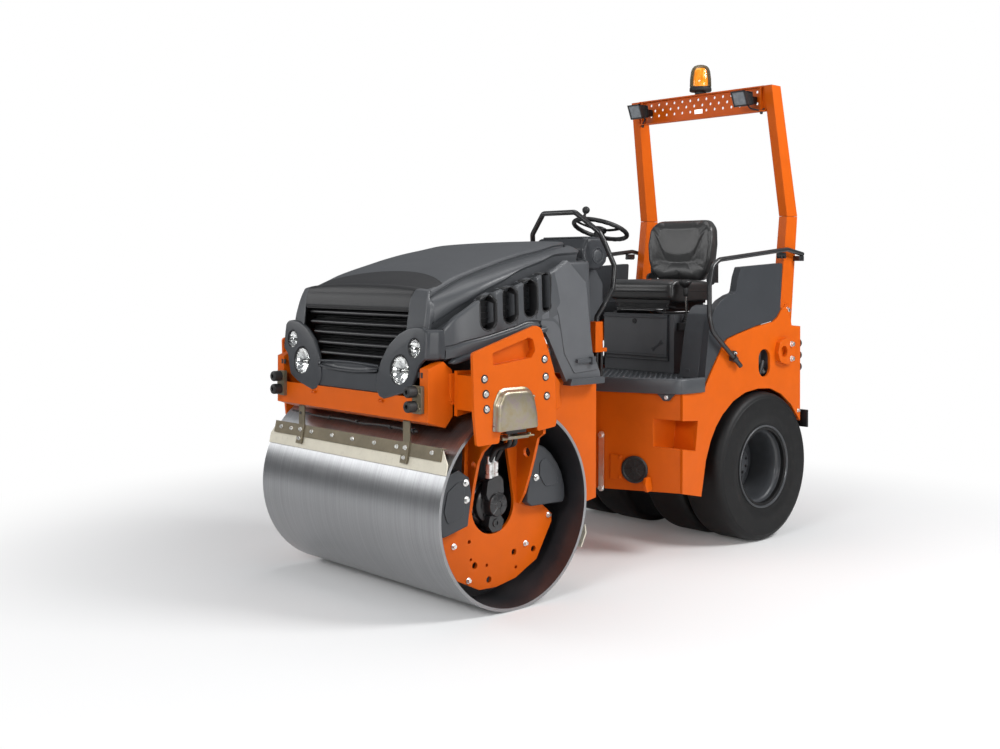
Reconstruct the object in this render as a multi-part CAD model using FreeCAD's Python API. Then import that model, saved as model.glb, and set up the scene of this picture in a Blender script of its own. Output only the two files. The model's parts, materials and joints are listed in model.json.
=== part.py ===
import FreeCAD, Part
import os, math
from FreeCAD import Vector as V

# ---------------------------------------------------------------------------
# Compact articulated combination roller: smooth steel drum in front, four
# smooth tyres behind.  Millimetres, +X forward, +Y to the machine's left, +Z up.
# Geometry is laid out from the drum axis (x = 0 under it) and then shifted by
# ORIGIN_X so that the part's origin is on the ground under the middle of its
# overall length.
# ---------------------------------------------------------------------------
ORIGIN_X = 952.0        # drum axis is this far ahead of the origin

# drum
DRUM_R = 450.0          # outer radius
DRUM_WALL = 15.0
DRUM_W = 1380.0         # working width
DRUM_WEB_Y = 430.0      # inner disc, outer face
# rear wheels
AXLE_X = -1960.0
TYRE_R = 416.5
RIM_R = 231.0           # flange radius
TYRE_OUT = (378.0, 640.0)   # outer tyre, from / to in Y
TYRE_IN = (92.0, 354.0)     # inner tyre
# articulation
PIVOT_X = -980.0
PIVOT_Z = 600.0
# frames
FRAME_Y = 620.0         # outer face of the front frame's side walls
PLATE_Y = 743.0         # outer face of the drum carrier plates
REAR_Y = 610.0          # outer face of the rear frame's side panels
# roll-over bar
BAR_SEAM_Z = 1830.0
BAR_TOP_Z = 2588.0
# hood hinge
HOOD_HINGE = (436.0, 926.0)

os.makedirs("parts", exist_ok=True)
SHIFT = V(ORIGIN_X, 0, 0)


def save(name, shape):
    s = shape.copy()
    s.translate(SHIFT)
    solids = s.Solids
    ok = s.isValid() and len(solids) > 0
    out = solids[0] if len(solids) == 1 else Part.makeCompound(solids)
    out.exportStep("parts/%s.step" % name)
    b = s.BoundBox
    print("%-24s n=%d ok=%s x %.0f..%.0f y %.0f..%.0f z %.0f..%.0f vol %.1f L" % (
        name, len(solids), ok, b.XMin, b.XMax, b.YMin, b.YMax, b.ZMin, b.ZMax, s.Volume / 1e6))


def save_pair(name, shape):
    # a left piece and its mirror image, kept as separate solids in one node
    m = shape.mirror(V(0, 0, 0), V(0, 1, 0))
    save(name, Part.makeCompound(shape.Solids + m.Solids))


def box(x0, x1, y0, y1, z0, z1):
    a, b, c = min(x0, x1), min(y0, y1), min(z0, z1)
    return Part.makeBox(abs(x1 - x0), abs(y1 - y0), abs(z1 - z0), V(a, b, c))


def prism(pts, vec):
    w = Part.makePolygon(pts + [pts[0]])
    return Part.Face(w).extrude(vec)


def xz(pts, y0, y1):
    return prism([V(p[0], y0, p[1]) for p in pts], V(0, y1 - y0, 0))


def xy(pts, z0, z1):
    return prism([V(p[0], p[1], z0) for p in pts], V(0, 0, z1 - z0))


def yz(pts, x0, x1):
    return prism([V(x0, p[0], p[1]) for p in pts], V(x1 - x0, 0, 0))


def rwire(pts, rad, closed=False):
    # straight runs joined by tangent arcs
    n = len(pts)
    rads = rad if isinstance(rad, (list, tuple)) else [rad] * n
    edges = []
    ends = []
    for i in range(n):
        p = pts[i]
        if not closed and i in (0, n - 1):
            ends.append((p, p, None))
            continue
        a, b = pts[i - 1], pts[(i + 1) % n]
        di = (p - a); di.normalize()
        do = (b - p); do.normalize()
        turn = di.getAngle(do)
        r = rads[i]
        if r <= 0 or turn < 1e-3:
            ends.append((p, p, None))
            continue
        t = r * math.tan(turn / 2)
        lim = 0.49 * min((p - a).Length, (b - p).Length)
        if t > lim:
            t = lim
            r = t / math.tan(turn / 2)
        bis = (do - di); bis.normalize()
        c = p + bis * (r / math.cos(turn / 2))
        ends.append((p - di * t, p + do * t, c - bis * r))
    for i in range(n):
        s, e, m = ends[i]
        if m is not None:
            edges.append(Part.Arc(s, m, e).toShape())
        if i < n - 1 or closed:
            nx = ends[(i + 1) % n][0]
            if (nx - e).Length > 1e-4:
                edges.append(Part.LineSegment(e, nx).toShape())
    return Part.Wire(edges)


def rxz(pts, y0, y1, r):
    w = rwire([V(p[0], y0, p[1]) for p in pts], r, True)
    return Part.Face(w).extrude(V(0, y1 - y0, 0))


def ryz(pts, x0, x1, r):
    w = rwire([V(x0, p[0], p[1]) for p in pts], r, True)
    return Part.Face(w).extrude(V(x1 - x0, 0, 0))


def rxy(pts, z0, z1, r):
    w = rwire([V(p[0], p[1], z0) for p in pts], r, True)
    return Part.Face(w).extrude(V(0, 0, z1 - z0))


def cyl(x, y, z, ax, r, h):
    return Part.makeCylinder(r, h, V(x, y, z), V(*ax))


def ycyl(x, z, r, y0, y1):
    return Part.makeCylinder(r, y1 - y0, V(x, y0, z), V(0, 1, 0))


def tube(pts, r, bend):
    path = rwire([V(*p) for p in pts], bend)
    d = V(*pts[1]) - V(*pts[0])
    c = Part.Wire(Part.makeCircle(r, V(*pts[0]), d))
    return path.makePipeShell([c], True, False)


def mir(s):
    return s.mirror(V(0, 0, 0), V(0, 1, 0))


def both(s):
    return s.fuse(mir(s))


def union(items):
    s = items[0]
    if len(items) > 1:
        s = s.multiFuse(items[1:])
    return s.removeSplitter()


def revolve_y(profile, x, z):
    # profile: list of (r, y)
    pts = [V(x + r, y, z) for r, y in profile]
    f = Part.Face(Part.makePolygon(pts + [pts[0]]))
    return f.revolve(V(x, 0, z), V(0, 1, 0), 360)


def loft(sections):
    ws = [Part.makePolygon([V(*p) for p in s] + [V(*s[0])]) for s in sections]
    return Part.makeLoft(ws, True, True)


# ===========================================================================
# DRUM
# ===========================================================================
hw = DRUM_W / 2
ri = DRUM_R - DRUM_WALL
drum = ycyl(0, DRUM_R, DRUM_R, -hw, hw).cut(ycyl(0, DRUM_R, ri, -hw - 1, hw + 1))
for s in (-1, 1):
    y0, y1 = sorted((s * DRUM_WEB_Y, s * (DRUM_WEB_Y - 20)))
    web = ycyl(0, DRUM_R, ri + 1, y0, y1).cut(ycyl(0, DRUM_R, 60.3, y0 - 1, y1 + 1))
    drum = drum.fuse(web)
# vibrator tube between the webs
vt = ycyl(0, DRUM_R, 110, -DRUM_WEB_Y + 10, DRUM_WEB_Y - 10).cut(
    ycyl(0, DRUM_R, 85, -DRUM_WEB_Y, DRUM_WEB_Y))
drum = drum.fuse(vt).removeSplitter()
save("drum", drum)

# ===========================================================================
# FRONT FRAME
# ===========================================================================
# crossbeam ahead of the drum: low in the middle, with a hexagonal column at each end
col_pts = [(428, 1083), (344, 1112), (294, 1074), (288, 875), (331, 826), (428, 856)]
column = xz(col_pts, 535, 590)
beam_low = xz([(428, 856), (331, 826), (288, 875), (288, 900), (428, 900)], -536, 536)
deck = box(-560, 300, -600, 600, 925, 940)
side_pts = [(290, 876), (290, 1072), (-250, 1062), (-330, 1000), (-590, 1000), (-590, 416),
            (-478, 398)]
arc = []
for a in range(186, 81, -7):
    ang = math.radians(a)
    arc.append((484 * math.cos(ang), DRUM_R + 484 * math.sin(ang)))
side_pts += arc
side_pts += [(120, 925), (200, 890)]
wall = xz(side_pts, 600, FRAME_Y)
web = box(250, 310, 585, 602, 940, 1060)
rear_wall = box(-590, -570, -602, 602, 416, 1000)
# bearing for the oscillation shaft in the rear wall
boss = cyl(-640, 0, PIVOT_Z, (1, 0, 0), 85, 90)
shaft_bore = cyl(-700, 0, PIVOT_Z, (1, 0, 0), 50.3, 200)
def lug_at(y0, y1):
    return xz([(427, 920.5), (436, 920.5), (436, 931.5), (427, 931.5)], y0, y1).fuse(
        ycyl(HOOD_HINGE[0], HOOD_HINGE[1], 5.5, y0, y1))


lug = both(lug_at(250, 258)).fuse(both(lug_at(272, 280)))
pin = both(ycyl(HOOD_HINGE[0], HOOD_HINGE[1], 3, 250, 280))
front_frame = union([beam_low, box(414, 428, -536, 536, 890, 957), column, mir(column), deck, wall,
                     mir(wall), web, mir(web), rear_wall, boss, lug, pin]).cut(shaft_bore)
save("front_frame", front_frame)

# ---- carrier plates outside the drum's ends --------------------------------
plate_pts = [(310, 1155), (-58, 1262), (-95, 1252), (-147, 1137), (-181, 1049), (-195, 830), (-189, 804),
             (-74, 792), (-71, 826), (149, 804), (157, 760), (284, 757), (300, 888)]
plate = rxz(plate_pts, PLATE_Y - 15, PLATE_Y, [14, 26, 26, 40, 40, 30, 12, 12, 10, 10, 12, 12, 40])
window = rxz([(198, 1150), (-22, 1211), (-46, 1200), (-60, 1152), (-36, 1120), (192, 1096)],
             PLATE_Y - 40, PLATE_Y + 10, [10, 12, 14, 14, 12, 10])
plate = plate.cut(window)
# a closed tray behind the window
tray = rxz([(214, 1164), (-28, 1227), (-62, 1208), (-78, 1152), (-48, 1104), (206, 1078)], PLATE_Y - 43, PLATE_Y - 15, [12, 14, 16, 16, 14, 12])
tray = tray.cut(rxz([(198, 1150), (-22, 1211), (-46, 1200), (-60, 1152), (-36, 1120), (192, 1096)], PLATE_Y - 37, PLATE_Y,
                    [10, 12, 14, 14, 12, 10]))
plate = plate.fuse(tray)
# return flange bent in toward the frame at the rear, and two stand-off boxes above the drum
flange = xy([(-178, PLATE_Y - 2), (-172, PLATE_Y - 15), (-318, FRAME_Y), (-345, FRAME_Y)], 872, 1045)
flange = flange.cut(yz([(PLATE_Y + 5, 1050), (FRAME_Y - 5, 975), (FRAME_Y - 5, 1060)], -400, -100))
spacer_f = box(180, 290, FRAME_Y, PLATE_Y - 15, 905, 1055)
spacer_r = box(-150, -90, FRAME_Y, PLATE_Y - 15, 940, 1100)
rib_wall = box(-90, 180, FRAME_Y, FRAME_Y + 15, 930, 1040)
carrier = union([plate, flange, spacer_f, spacer_r, rib_wall])
save_pair("carrier_plates", carrier)

# ---- drum supports inside the drum's ends ----------------------------------
SUP_Y0, SUP_Y1 = 540.0, 556.0
sup_pts = [(-322, 387), (-351, 362), (-351, 326), (-253, 164), (-120, 99), (-2, 77), (103, 81), (244, 148), (307, 230),
           (330, 330), (330, 410), (250, 470), (196, 600), (186, 812), (-160, 812), (-190, 640), (-215, 470)]
sup = xz(sup_pts, SUP_Y0, SUP_Y1)
tear = Part.makeCylinder(128, 60, V(22, SUP_Y0 - 20, 448), V(0, 1, 0)).fuse(
    xz([(149, 460), (96, 760), (-52, 760), (-106, 460)], SUP_Y0 - 20, SUP_Y0 + 40))
sup = sup.cut(tear)
holes = []
for hx, hz, r in [(163, 304, 9), (153, 224, 7), (130, 194, 15), (58, 184, 8), (45, 117, 15), (-109, 217, 15),
                  (-233, 213, 15), (-122, 146, 8)]:
    holes.append(ycyl(hx, hz, r, SUP_Y0 - 5, SUP_Y1 + 5))
ribs = []
RIB_F = [(554, 440), (566, 440), (587, 546), (618, 659), (648, 712), (PLATE_Y - 15, 775), (PLATE_Y - 15, 812), (SUP_Y0, 812), (SUP_Y0, 440)]
RIB_R = [(554, 440), (570, 440), (602, 489), (640, 587), (664, 660), (691, 750), (PLATE_Y - 15, 775), (PLATE_Y - 15, 812), (SUP_Y0, 812), (SUP_Y0, 440)]
for x0, outline, hy, hz, hr in ((164, RIB_F, 592, 650, 15), (-132, RIB_R, 622, 680, 22)):
    rib = yz(outline, x0 - 8, x0 + 8)
    rib = rib.cut(cyl(x0 - 20, hy, hz, (1, 0, 0), hr, 40))
    ribs.append(rib)
support = union([sup] + ribs).cut(Part.makeCompound(holes))
save_pair("drum_supports", support)

# ---- drum motors -------------------------------------------------------------
motor = union([ycyl(0, DRUM_R, 60, DRUM_WEB_Y - 22, 470), ycyl(0, DRUM_R, 90, 470, 522),
               ycyl(0, DRUM_R, 56, 522, 575), box(28, 48, 528, 562, 450, 575), box(-8, 12, 528, 562, 480, 582)])
save_pair("drum_motors", motor)

# ---- drum hoses (pressure and return), held between motor and frame ----------
h1 = tube([(38, 545, 575.3), (38, 545, 640), (30, 590, 712), (44, 690, 738), (44, 690, 791.5)], 11, [0, 40, 50, 24, 0])
h2 = tube([(2, 545, 582.3), (2, 545, 640), (-4, 590, 712), (12, 690, 738), (12, 690, 791.5)], 11, [0, 40, 50, 24, 0])
hose_gland = box(-20, 100, 660, PLATE_Y - 15, 792, 850)
hoses = Part.makeCompound([h1, h2])
save_pair("drum_hoses", hoses)
save_pair("hose_glands", hose_gland)

# ---- zinc covers on the carrier plates ---------------------------------------
cov_out = rxz([(196, 813), (191, 933), (164, 986), (132, 997), (0, 996), (-40, 966), (-61, 886), (-68, 816)], PLATE_Y, PLATE_Y + 26,
              [10, 22, 30, 30, 30, 30, 40, 14])
cov_in = rxz([(188, 806), (183, 930), (158, 980), (130, 990), (2, 989), (-34, 961), (-53, 884), (-60, 806)], PLATE_Y - 1, PLATE_Y + 23,
             [4, 18, 26, 26, 26, 26, 36, 4])
cover = cov_out.cut(cov_in)
clamp = box(-46, 111, 700, 716, 764, 784).fuse(box(-46, 111, 716, PLATE_Y - 15, 776, 784))
save_pair("hose_covers", cover)

# ---- grey plastic guards ahead of and behind the supports --------------------
g_rear = rxz([(-209, 709), (-256, 692), (-301, 657), (-346, 604), (-374, 554), (-392, 500), (-395, 448), (-384, 418), (-176, 424),
              (-148, 445), (-150, 490), (-169, 577), (-180, 660)], 557, 604, 10)
g_front = rxz([(265, 640), (204, 600), (190, 523), (204, 429), (209, 388), (352, 352), (386, 420), (390, 480), (370, 560),
               (330, 620)], 557, 604, 8)
guards = Part.makeCompound([g_rear, g_front])
save_pair("drum_guards", guards)

# ---- scrapers -----------------------------------------------------------------
def rot_about_drum(shape, deg):
    s = shape.copy()
    s.rotate(V(0, 0, DRUM_R), V(0, 1, 0), deg)
    return s

# front scraper: two straps from the beam, an angle bar and a plastic blade
def leaned(shape):
    # the scraper leans back 12 degrees about the blade's lower edge
    t = shape.copy()
    t.rotate(V(408, 0, 640), V(0, 1, 0), -12)
    return t


bar = box(414.2, 422, -650, 650, 694, 752).fuse(box(394, 422, -650, 650, 746, 752))
strap = leaned(box(421, 428, 388, 436, 660, 756)).fuse(box(398, 404, 388, 436, 752, 846))
save("front_scraper_bar", union([leaned(bar), strap, mir(strap)]))
blade = leaned(yz([(-690, 640), (690, 640), (690, 686), (646, 744), (-646, 744), (-690, 686)], 408, 414))
save("front_scraper_blade", blade)
# rear scraper, low behind the drum, hung from the rear wall
rbar = xz([(-560, 380), (-496, 300), (-490, 305), (-552, 384)], -560, 560).fuse(
    both(box(-569.5, -552, 440, 480, 376, 500)))
rblade = xz([(-490, 305), (-496, 300), (-504, 262), (-470, 196), (-464, 199), (-496, 262)], -640, 640)
save("rear_scraper_bar", rbar)
save("rear_scraper_blade", rblade)

# ---- bumper rubbers -------------------------------------------------------------
bufs, brks = [], []
for zc in (986, 923):
    bufs.append(cyl(452, 528, zc, (1, 0, 0), 25, 46))
    brks.append(cyl(446, 528, zc, (1, 0, 0), 27, 6))
brk = union([box(428.5, 446, 504, 566, 890, 1012)] + brks)
save("front_buffers", Part.makeCompound(bufs + [mir(b) for b in bufs]))
save_pair("buffer_brackets", brk)

# ---- engine ---------------------------------------------------------------------
save("engine_block", box(-330, 170, -270, 270, 940, 1440))

# ===========================================================================
# HOOD (tilts forward on the hinge below its nose)
# ===========================================================================
# stations: x, centre z, crease (y, z), band ridge (y, z), shelf edge (y, z), flank foot (y, z)
HOOD_T = 14.0
ST = [
    (326, 1432, 472, 1404, 508, 1350, 582, 1252, 590, 1122),
    (299, 1445, 466, 1418, 516, 1366, 607, 1296, 612, 1128),
    (263, 1459, 463, 1433, 523, 1383, 621, 1321, 628, 1138),
    (223, 1473, 461, 1450, 531, 1402, 631, 1347, 638, 1150),
    (164, 1494, 460, 1475, 540, 1427, 640, 1383, 648, 1168),
    (80, 1522, 458, 1502, 545, 1462, 646, 1418, 654, 1194),
    (-21, 1549, 456, 1531, 548, 1496, 649, 1440, 659, 1224),
    (-119, 1575, 453, 1559, 548, 1530, 651, 1468, 661, 1250),
    (-248, 1604, 449, 1590, 545, 1566, 652, 1509, 662, 1250),
    (-345, 1624, 446, 1608, 540, 1590, 650, 1548, 662, 1150),
    (-510, 1650, 420, 1640, 500, 1622, 600, 1550, 662, 1110),
    (-690, 1660, 292, 1651, 315, 1630, 335, 1560, 350, 1110),
    (-762, 1662, 150, 1655, 165, 1640, 190, 1560, 200, 1110),
]


def hood_section(st, t, drop):
    x, zc, yc, zcr, yl, zl, yt, zt, yb, zb = st
    h = [(0, zc - t), (yc * 0.55, zc - t - (zc - zcr) * 0.3), (yc - t * 0.3, zcr - t), (yl - t * 0.7, zl - t * 0.8),
         (yt - t, zt - t * 0.4), (yb - t, zb - drop)]
    left = [(x, y, z) for y, z in h]
    right = [(x, -y, z) for y, z in reversed(h[1:])]
    return left + right


outer = loft([hood_section(s, 0, 0) for s in ST])
ins = []
for i, s in enumerate(ST):
    s2 = list(s)
    if i == 0:
        s2[0] = 312
    if i == len(ST) - 1:
        s2[0] = -748
    ins.append(hood_section(s2, HOOD_T, 60))
inner = loft(ins)
# nose ahead of the first station: z, front x, its half width, corner (x, y), side (x, y)
NOSE = [
    (962, 423, 250, 416, 262, 400, 446),
    (1040, 416, 250, 409, 262, 396, 470),
    (1160, 408, 402, 396, 470, 378, 500),
    (1272, 396, 405, 380, 500, 362, 516),
    (1335, 387, 408, 366, 496, 352, 506),
    (1400, 369, 410, 348, 482, 334, 488),
    (1426, 340, 400, 334, 440, 318, 470),
]


def nose_section(n, t):
    z, xf, yf, xm, ym, xs, ys = n
    h = [(300, ys - t), (xs - t * 0.7, ys - t), (xm - t * 0.8, ym - t * 0.6), (xf - t, yf - t * 0.3)]
    return [(x, y, z) for x, y in h] + [(x, -y, z) for x, y in reversed(h)]


nose_out = loft([nose_section(n, 0) for n in NOSE])
nin = [list(n) for n in NOSE]
nin[0][0] = 950
nin[-1][0] = 1408
nose_in = loft([nose_section(n, HOOD_T) for n in nin])
shell = outer.fuse(nose_out).cut(inner).cut(nose_in)
shell = shell.cut(box(290, 312.5, -440, 440, 940, 1392))
# opening for the grille
shell = shell.cut(box(296, 460, -400, 400, 1042, 1330))
# rear side panels reaching down past the frame
panel_pts = [(-214, 1485), (-345, 1556), (-474, 1452), (-495, 1292), (-521, 1121), (-575, 1021), (-575, 975),
             (-338, 975), (-228, 1195)]
panel = xz(panel_pts, 640, 664)
flange2 = box(-585, -338, 640, 690, 972, 1003)
panels = union([panel, flange2])
shell = shell.fuse(panels).fuse(mir(panels))
shell = shell.cut(box(-760, -200, -639.9, 639.9, 940, 1108))
# lamp pods on both sides of the grille: a leaning face plate and a shell behind its outer part


def pod_x(z):
    return 434 - 0.083 * (z - 936)


pod_yz = [(281, 934), (246, 944), (216, 986), (221, 1037), (244, 1102), (289, 1172), (359, 1226), (430, 1254),
          (490, 1261), (530, 1256), (549, 1238), (552, 1197), (552, 1124), (511, 1090), (500, 1054), (477, 998),
          (415, 968), (340, 948)]
face = Part.Face(Part.makePolygon([V(pod_x(z), y, z) for y, z in pod_yz + pod_yz[:1]])).extrude(V(-14, 0, 0))
face = face.cut(box(380, 429.5, 200, 600, 900, 962))
wrap = xy([(407, 551), (345, 574), (320, 588), (320, 568), (345, 558), (394, 539)], 1122, 1246)
roof = xy([(407, 440), (407, 551), (345, 574), (320, 588), (320, 440)], 1234, 1248)
pod = union([face, wrap, roof])
hood = union([shell, pod, mir(pod)])
knuckle = both(ycyl(HOOD_HINGE[0], HOOD_HINGE[1], 6, 260, 270)).fuse(both(box(430.5, 434, 260, 270, 926, 942)))
hood = hood.fuse(knuckle).cut(both(ycyl(HOOD_HINGE[0], HOOD_HINGE[1], 3.2, 245, 285))).removeSplitter()
# holes for the lamps, louvre slots in the flanks
LAMPS = ((385, 1066, 66, 26), (478, 1166, 42, 24))
lamp_cut = Part.makeCompound([cyl(360, ly, lz, (1, 0, 0), r, 80) for ly, lz, r, d in LAMPS])
hood = hood.cut(lamp_cut).cut(mir(lamp_cut))
louv = []
for x, hwid, z0, z1 in ((139, 37, 1244, 1404), (15, 37, 1272, 1446), (-108, 36, 1296, 1478), (-207, 21, 1321, 1500)):
    louv.append(rxz([(x - hwid, z0), (x + hwid, z0), (x + hwid, z1), (x - hwid, z1)], 585, 700, hwid - 1.5))
lv = Part.makeCompound(louv)
hood = hood.cut(lv).cut(mir(lv))
save("hood", hood)

# grille: a backing plate with five bulged slats
gback = xz([(386, 1044), (366, 1328), (360, 1328), (380, 1044)], -396, 396)
slats = []
for zc, hw in ((1110, 234), (1158, 262), (1206, 300), (1254, 376), (1302, 396)):
    xc = 430 - (zc - 1040) * 0.147
    slats.append(xz([(xc - 42, zc - 14), (xc - 4, zc - 16), (xc, zc - 6), (xc - 4, zc + 10), (xc - 42, zc + 12)], -hw, hw))
apron = xz([(382, 1044), (429, 1044), (424, 1076), (382, 1076)], -212, 212)
save("grille", union([gback, apron] + slats))
lamps = []
for ly, lz, r, d in LAMPS:
    xf = pod_x(lz) - 3
    lamps.append(cyl(xf - d, ly, lz, (1, 0, 0), r - 2, d))
save_pair("headlamps", Part.makeCompound(lamps))

# ===========================================================================
# ARTICULATION JOINT
# ===========================================================================
HUB_R = 38.0
knuckle_block = union([cyl(PIVOT_X, 0, 512, (0, 0, 1), 78, 208), box(PIVOT_X, PIVOT_X + 130, -78, 78, 512, 720),
                       cyl(PIVOT_X, 0, 447, (0, 0, 1), HUB_R, 66)])
knuckle_block = knuckle_block.cut(cyl(PIVOT_X, 0, 440, (0, 0, 1), 25.3, 320))
osc_shaft = cyl(PIVOT_X + 120, 0, PIVOT_Z, (1, 0, 0), 50, 330)
CYL_Z = 480.0
CYL_B = (108.3, -19.1)      # rod pin, from the pivot
CYL_A = (-140.0, -380.0)    # barrel pin, from the pivot
arm = xy([(PIVOT_X + 5, 30), (PIVOT_X + 112, 6), (PIVOT_X + 128, -22), (PIVOT_X + 104, -40), (PIVOT_X, -35)], 447, 462)
arm = arm.cut(cyl(PIVOT_X, 0, 440, (0, 0, 1), 25.3, 320))
rod_pin = cyl(PIVOT_X + CYL_B[0], CYL_B[1], 460, (0, 0, 1), 8, 56)
save("steering_knuckle", union([knuckle_block, osc_shaft, arm, rod_pin]))

# steering cylinder, from a bracket on the rear frame to the knuckle's arm
ax, ay = PIVOT_X + CYL_A[0], CYL_A[1]
bx, by = PIVOT_X + CYL_B[0], CYL_B[1]
L = math.hypot(bx - ax, by - ay)
ux, uy = (bx - ax) / L, (by - ay) / L
barrel = union([cyl(ax + ux * 34, ay + uy * 34, CYL_Z, (ux, uy, 0), 26, 250), cyl(ax, ay, CYL_Z - 12, (0, 0, 1), 24, 24),
                cyl(ax + ux * 16, ay + uy * 16, CYL_Z, (ux, uy, 0), 10, 40)])
barrel = barrel.cut(cyl(ax, ay, 440, (0, 0, 1), 12.3, 80)).cut(
    cyl(ax + ux * 60, ay + uy * 60, CYL_Z, (ux, uy, 0), 12.3, 300))
save("steering_barrel", barrel)
rod = union([cyl(ax + ux * 130, ay + uy * 130, CYL_Z, (ux, uy, 0), 12, L - 160), cyl(bx, by, CYL_Z - 13, (0, 0, 1), 35, 26)])
rod = rod.cut(cyl(bx, by, 440, (0, 0, 1), 24, 80))
save("steering_rod", rod)

# ===========================================================================
# REAR FRAME
# ===========================================================================
# nose of the frame, tapering in plan toward the pivot
nose_plan = [(-1030, 60), (-1080, 200), (-1264, 594), (-1440, 594), (-1440, -594), (-1264, -594), (-1080, -200),
             (-1030, -60)]
nose_blk = xy(nose_plan, 345, 866)
# foot pocket, both sides
pocket = both(xz([(-1062, 740), (-1392, 716), (-1372, 560), (-1036, 606)], 462, 700))
nose_blk = nose_blk.cut(pocket).cut(cyl(PIVOT_X, 0, 440.5, (0, 0, 1), 96, 286))
# the part of the nose that shows no inside is closed; ears for the pivot
ear_lo = union([box(-1060, PIVOT_X, -70, 70, 412, 440), cyl(PIVOT_X, 0, 412, (0, 0, 1), 75, 28)])
ear_hi = union([box(-1060, PIVOT_X, -70, 70, 727, 755), cyl(PIVOT_X, 0, 727, (0, 0, 1), 75, 28)])
king = cyl(PIVOT_X, 0, 412, (0, 0, 1), 25, 343)
spine = box(-2335, -1430, -72, 72, 600, 866)
deck_r = box(-2335, -1250, -594, 594, 866, 880)
axle_mount = box(AXLE_X - 110, AXLE_X + 110, -72, 72, 345, 602).cut(ycyl(AXLE_X, TYRE_R, 60.3, -80, 80))
# bracket for the steering cylinder
cb = union([box(ax - 80, ax + 22, ay - 26, ay + 22, 446, 461), box(ax - 80, ax + 22, ay - 26, ay + 22, 499, 514)])
cpin = cyl(ax, ay, 446, (0, 0, 1), 12, 68)
rear_frame = union([nose_blk, ear_lo, ear_hi, king, spine, deck_r, axle_mount, cb, cpin])
save("rear_frame", rear_frame)

# side panels with the wheel arches
arch = [(-1422, 312), (-1439, 391), (-1461, 500), (-1501, 598), (-1548, 672), (-1607, 733), (-1700, 797), (-1810, 838),
        (-1930, 852), (-2050, 846), (-2160, 806), (-2254, 744), (-2318, 672), (-2350, 640)]
top_edge = [(-2350, 1190), (-2262, 1197), (-2240, 1262), (-2205, 1306), (-2170, 1300), (-2121, 1245), (-2080, 1223),
            (-1904, 1197), (-1746, 1163), (-1649, 1138), (-1619, 1112), (-1520, 983), (-1446, 880), (-1420, 866),
            (-1264, 866)]
side = xz([(-1264, 345)] + arch + top_edge, REAR_Y - 15, REAR_Y)
side = side.cut(xz([(-1062, 740), (-1392, 716), (-1372, 560), (-1036, 606)], 560, 700))
slot = rxz([(-2046, 915), (-1936, 915), (-1936, 1070), (-2046, 1070)], REAR_Y - 40, REAR_Y + 10, 52)
side = side.cut(slot)
save_pair("side_panels", side)

# rear wall and its inner box
rear_wall2 = box(-2350, -2336, -594.5, 594.5, 640, 1190)
save("rear_panel", rear_wall2)
# rear body between the side panels: closed box that holds tanks and pump
tank = box(-2334, -2060, -590, 590, 881, 1179)
save("rear_body", tank)

# lifting eyes on the side panels
EYE = (-2150.0, 1052.0)
eye = rxz([(-2255, 1105), (-2180, 1130), (-2110, 1110), (-2090, 1050), (-2110, 995), (-2180, 975), (-2255, 992)],
          REAR_Y, REAR_Y + 26, 30)
eye = eye.cut(ycyl(EYE[0], EYE[1], 32, REAR_Y - 1, REAR_Y + 30))
save_pair("lifting_eyes", eye)
# tie-down lug low on the nose
TIE = (-1290.0, 352.0)

# rear buffers
rb = []
for zc in (1088, 1018, 950):
    rb.append(cyl(-2350, 565, zc, (-1, 0, 0), 27, 52))
save("rear_buffers", Part.makeCompound(rb + [mir(b) for b in rb]))

# tyre scraper brackets
ts = union([box(-2402, -2350, 560, 600, 690, 720), box(-2402, -2390, 380, 640, 600, 720)])
ts = union([box(-2372, -2350, 480, 590, 660, 700), box(-2398, -2384, 384, 634, 600, 700), box(-2390, -2366, 480, 590, 672, 700)])
save_pair("tyre_scrapers", ts)

# rear axle with the hub stubs
axle = union([box(AXLE_X - 90, AXLE_X + 90, -70, 70, 360, 480), ycyl(AXLE_X, TYRE_R, 60, -330, 330)])
axle = ycyl(AXLE_X, TYRE_R, 60, -356, 356)
save("rear_axle", axle)

# wheels -------------------------------------------------------------------------
def tyre(y0, y1):
    w = y1 - y0
    prof = [(204.8, y0 + 18), (234, y0 + 15.5), (250, y0 + 8), (300, y0), (360, y0), (392, y0 + 5), (410, y0 + 20),
            (TYRE_R, y0 + 42), (TYRE_R, y1 - 42), (410, y1 - 20), (392, y1 - 5), (360, y1), (300, y1), (250, y1 - 8),
            (234, y1 - 15.5), (204.8, y1 - 18)]
    return revolve_y(prof, AXLE_X, TYRE_R)


def rim(y0, y1, disc_y):
    # barrel with flanges and a disc
    a, b = y0 + 10, y1 - 10
    prof = [(192, a), (RIM_R, a - 4), (RIM_R, a + 3), (204, a + 6.2), (204, b - 6.2), (RIM_R, b - 3), (RIM_R, b + 4),
            (192, b)]
    barrel_ = revolve_y(prof, AXLE_X, TYRE_R)
    disc = ycyl(AXLE_X, TYRE_R, 196, disc_y, disc_y + 14)
    return barrel_.fuse(disc)


t_out, t_in = tyre(*TYRE_OUT), tyre(*TYRE_IN)
rims = union([rim(TYRE_OUT[0], TYRE_OUT[1], 400), rim(TYRE_IN[0], TYRE_IN[1], 318),
              ycyl(AXLE_X, TYRE_R, 120, 318, 414), ycyl(AXLE_X, TYRE_R, 88, 414, 470)])
rims = rims.cut(ycyl(AXLE_X, TYRE_R, 60.3, 300, 357))
save("left_tyres", Part.makeCompound([t_out, t_in]))
save("right_tyres", Part.makeCompound([mir(t_out), mir(t_in)]))
save("left_rims", rims)
save("right_rims", mir(rims))

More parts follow.
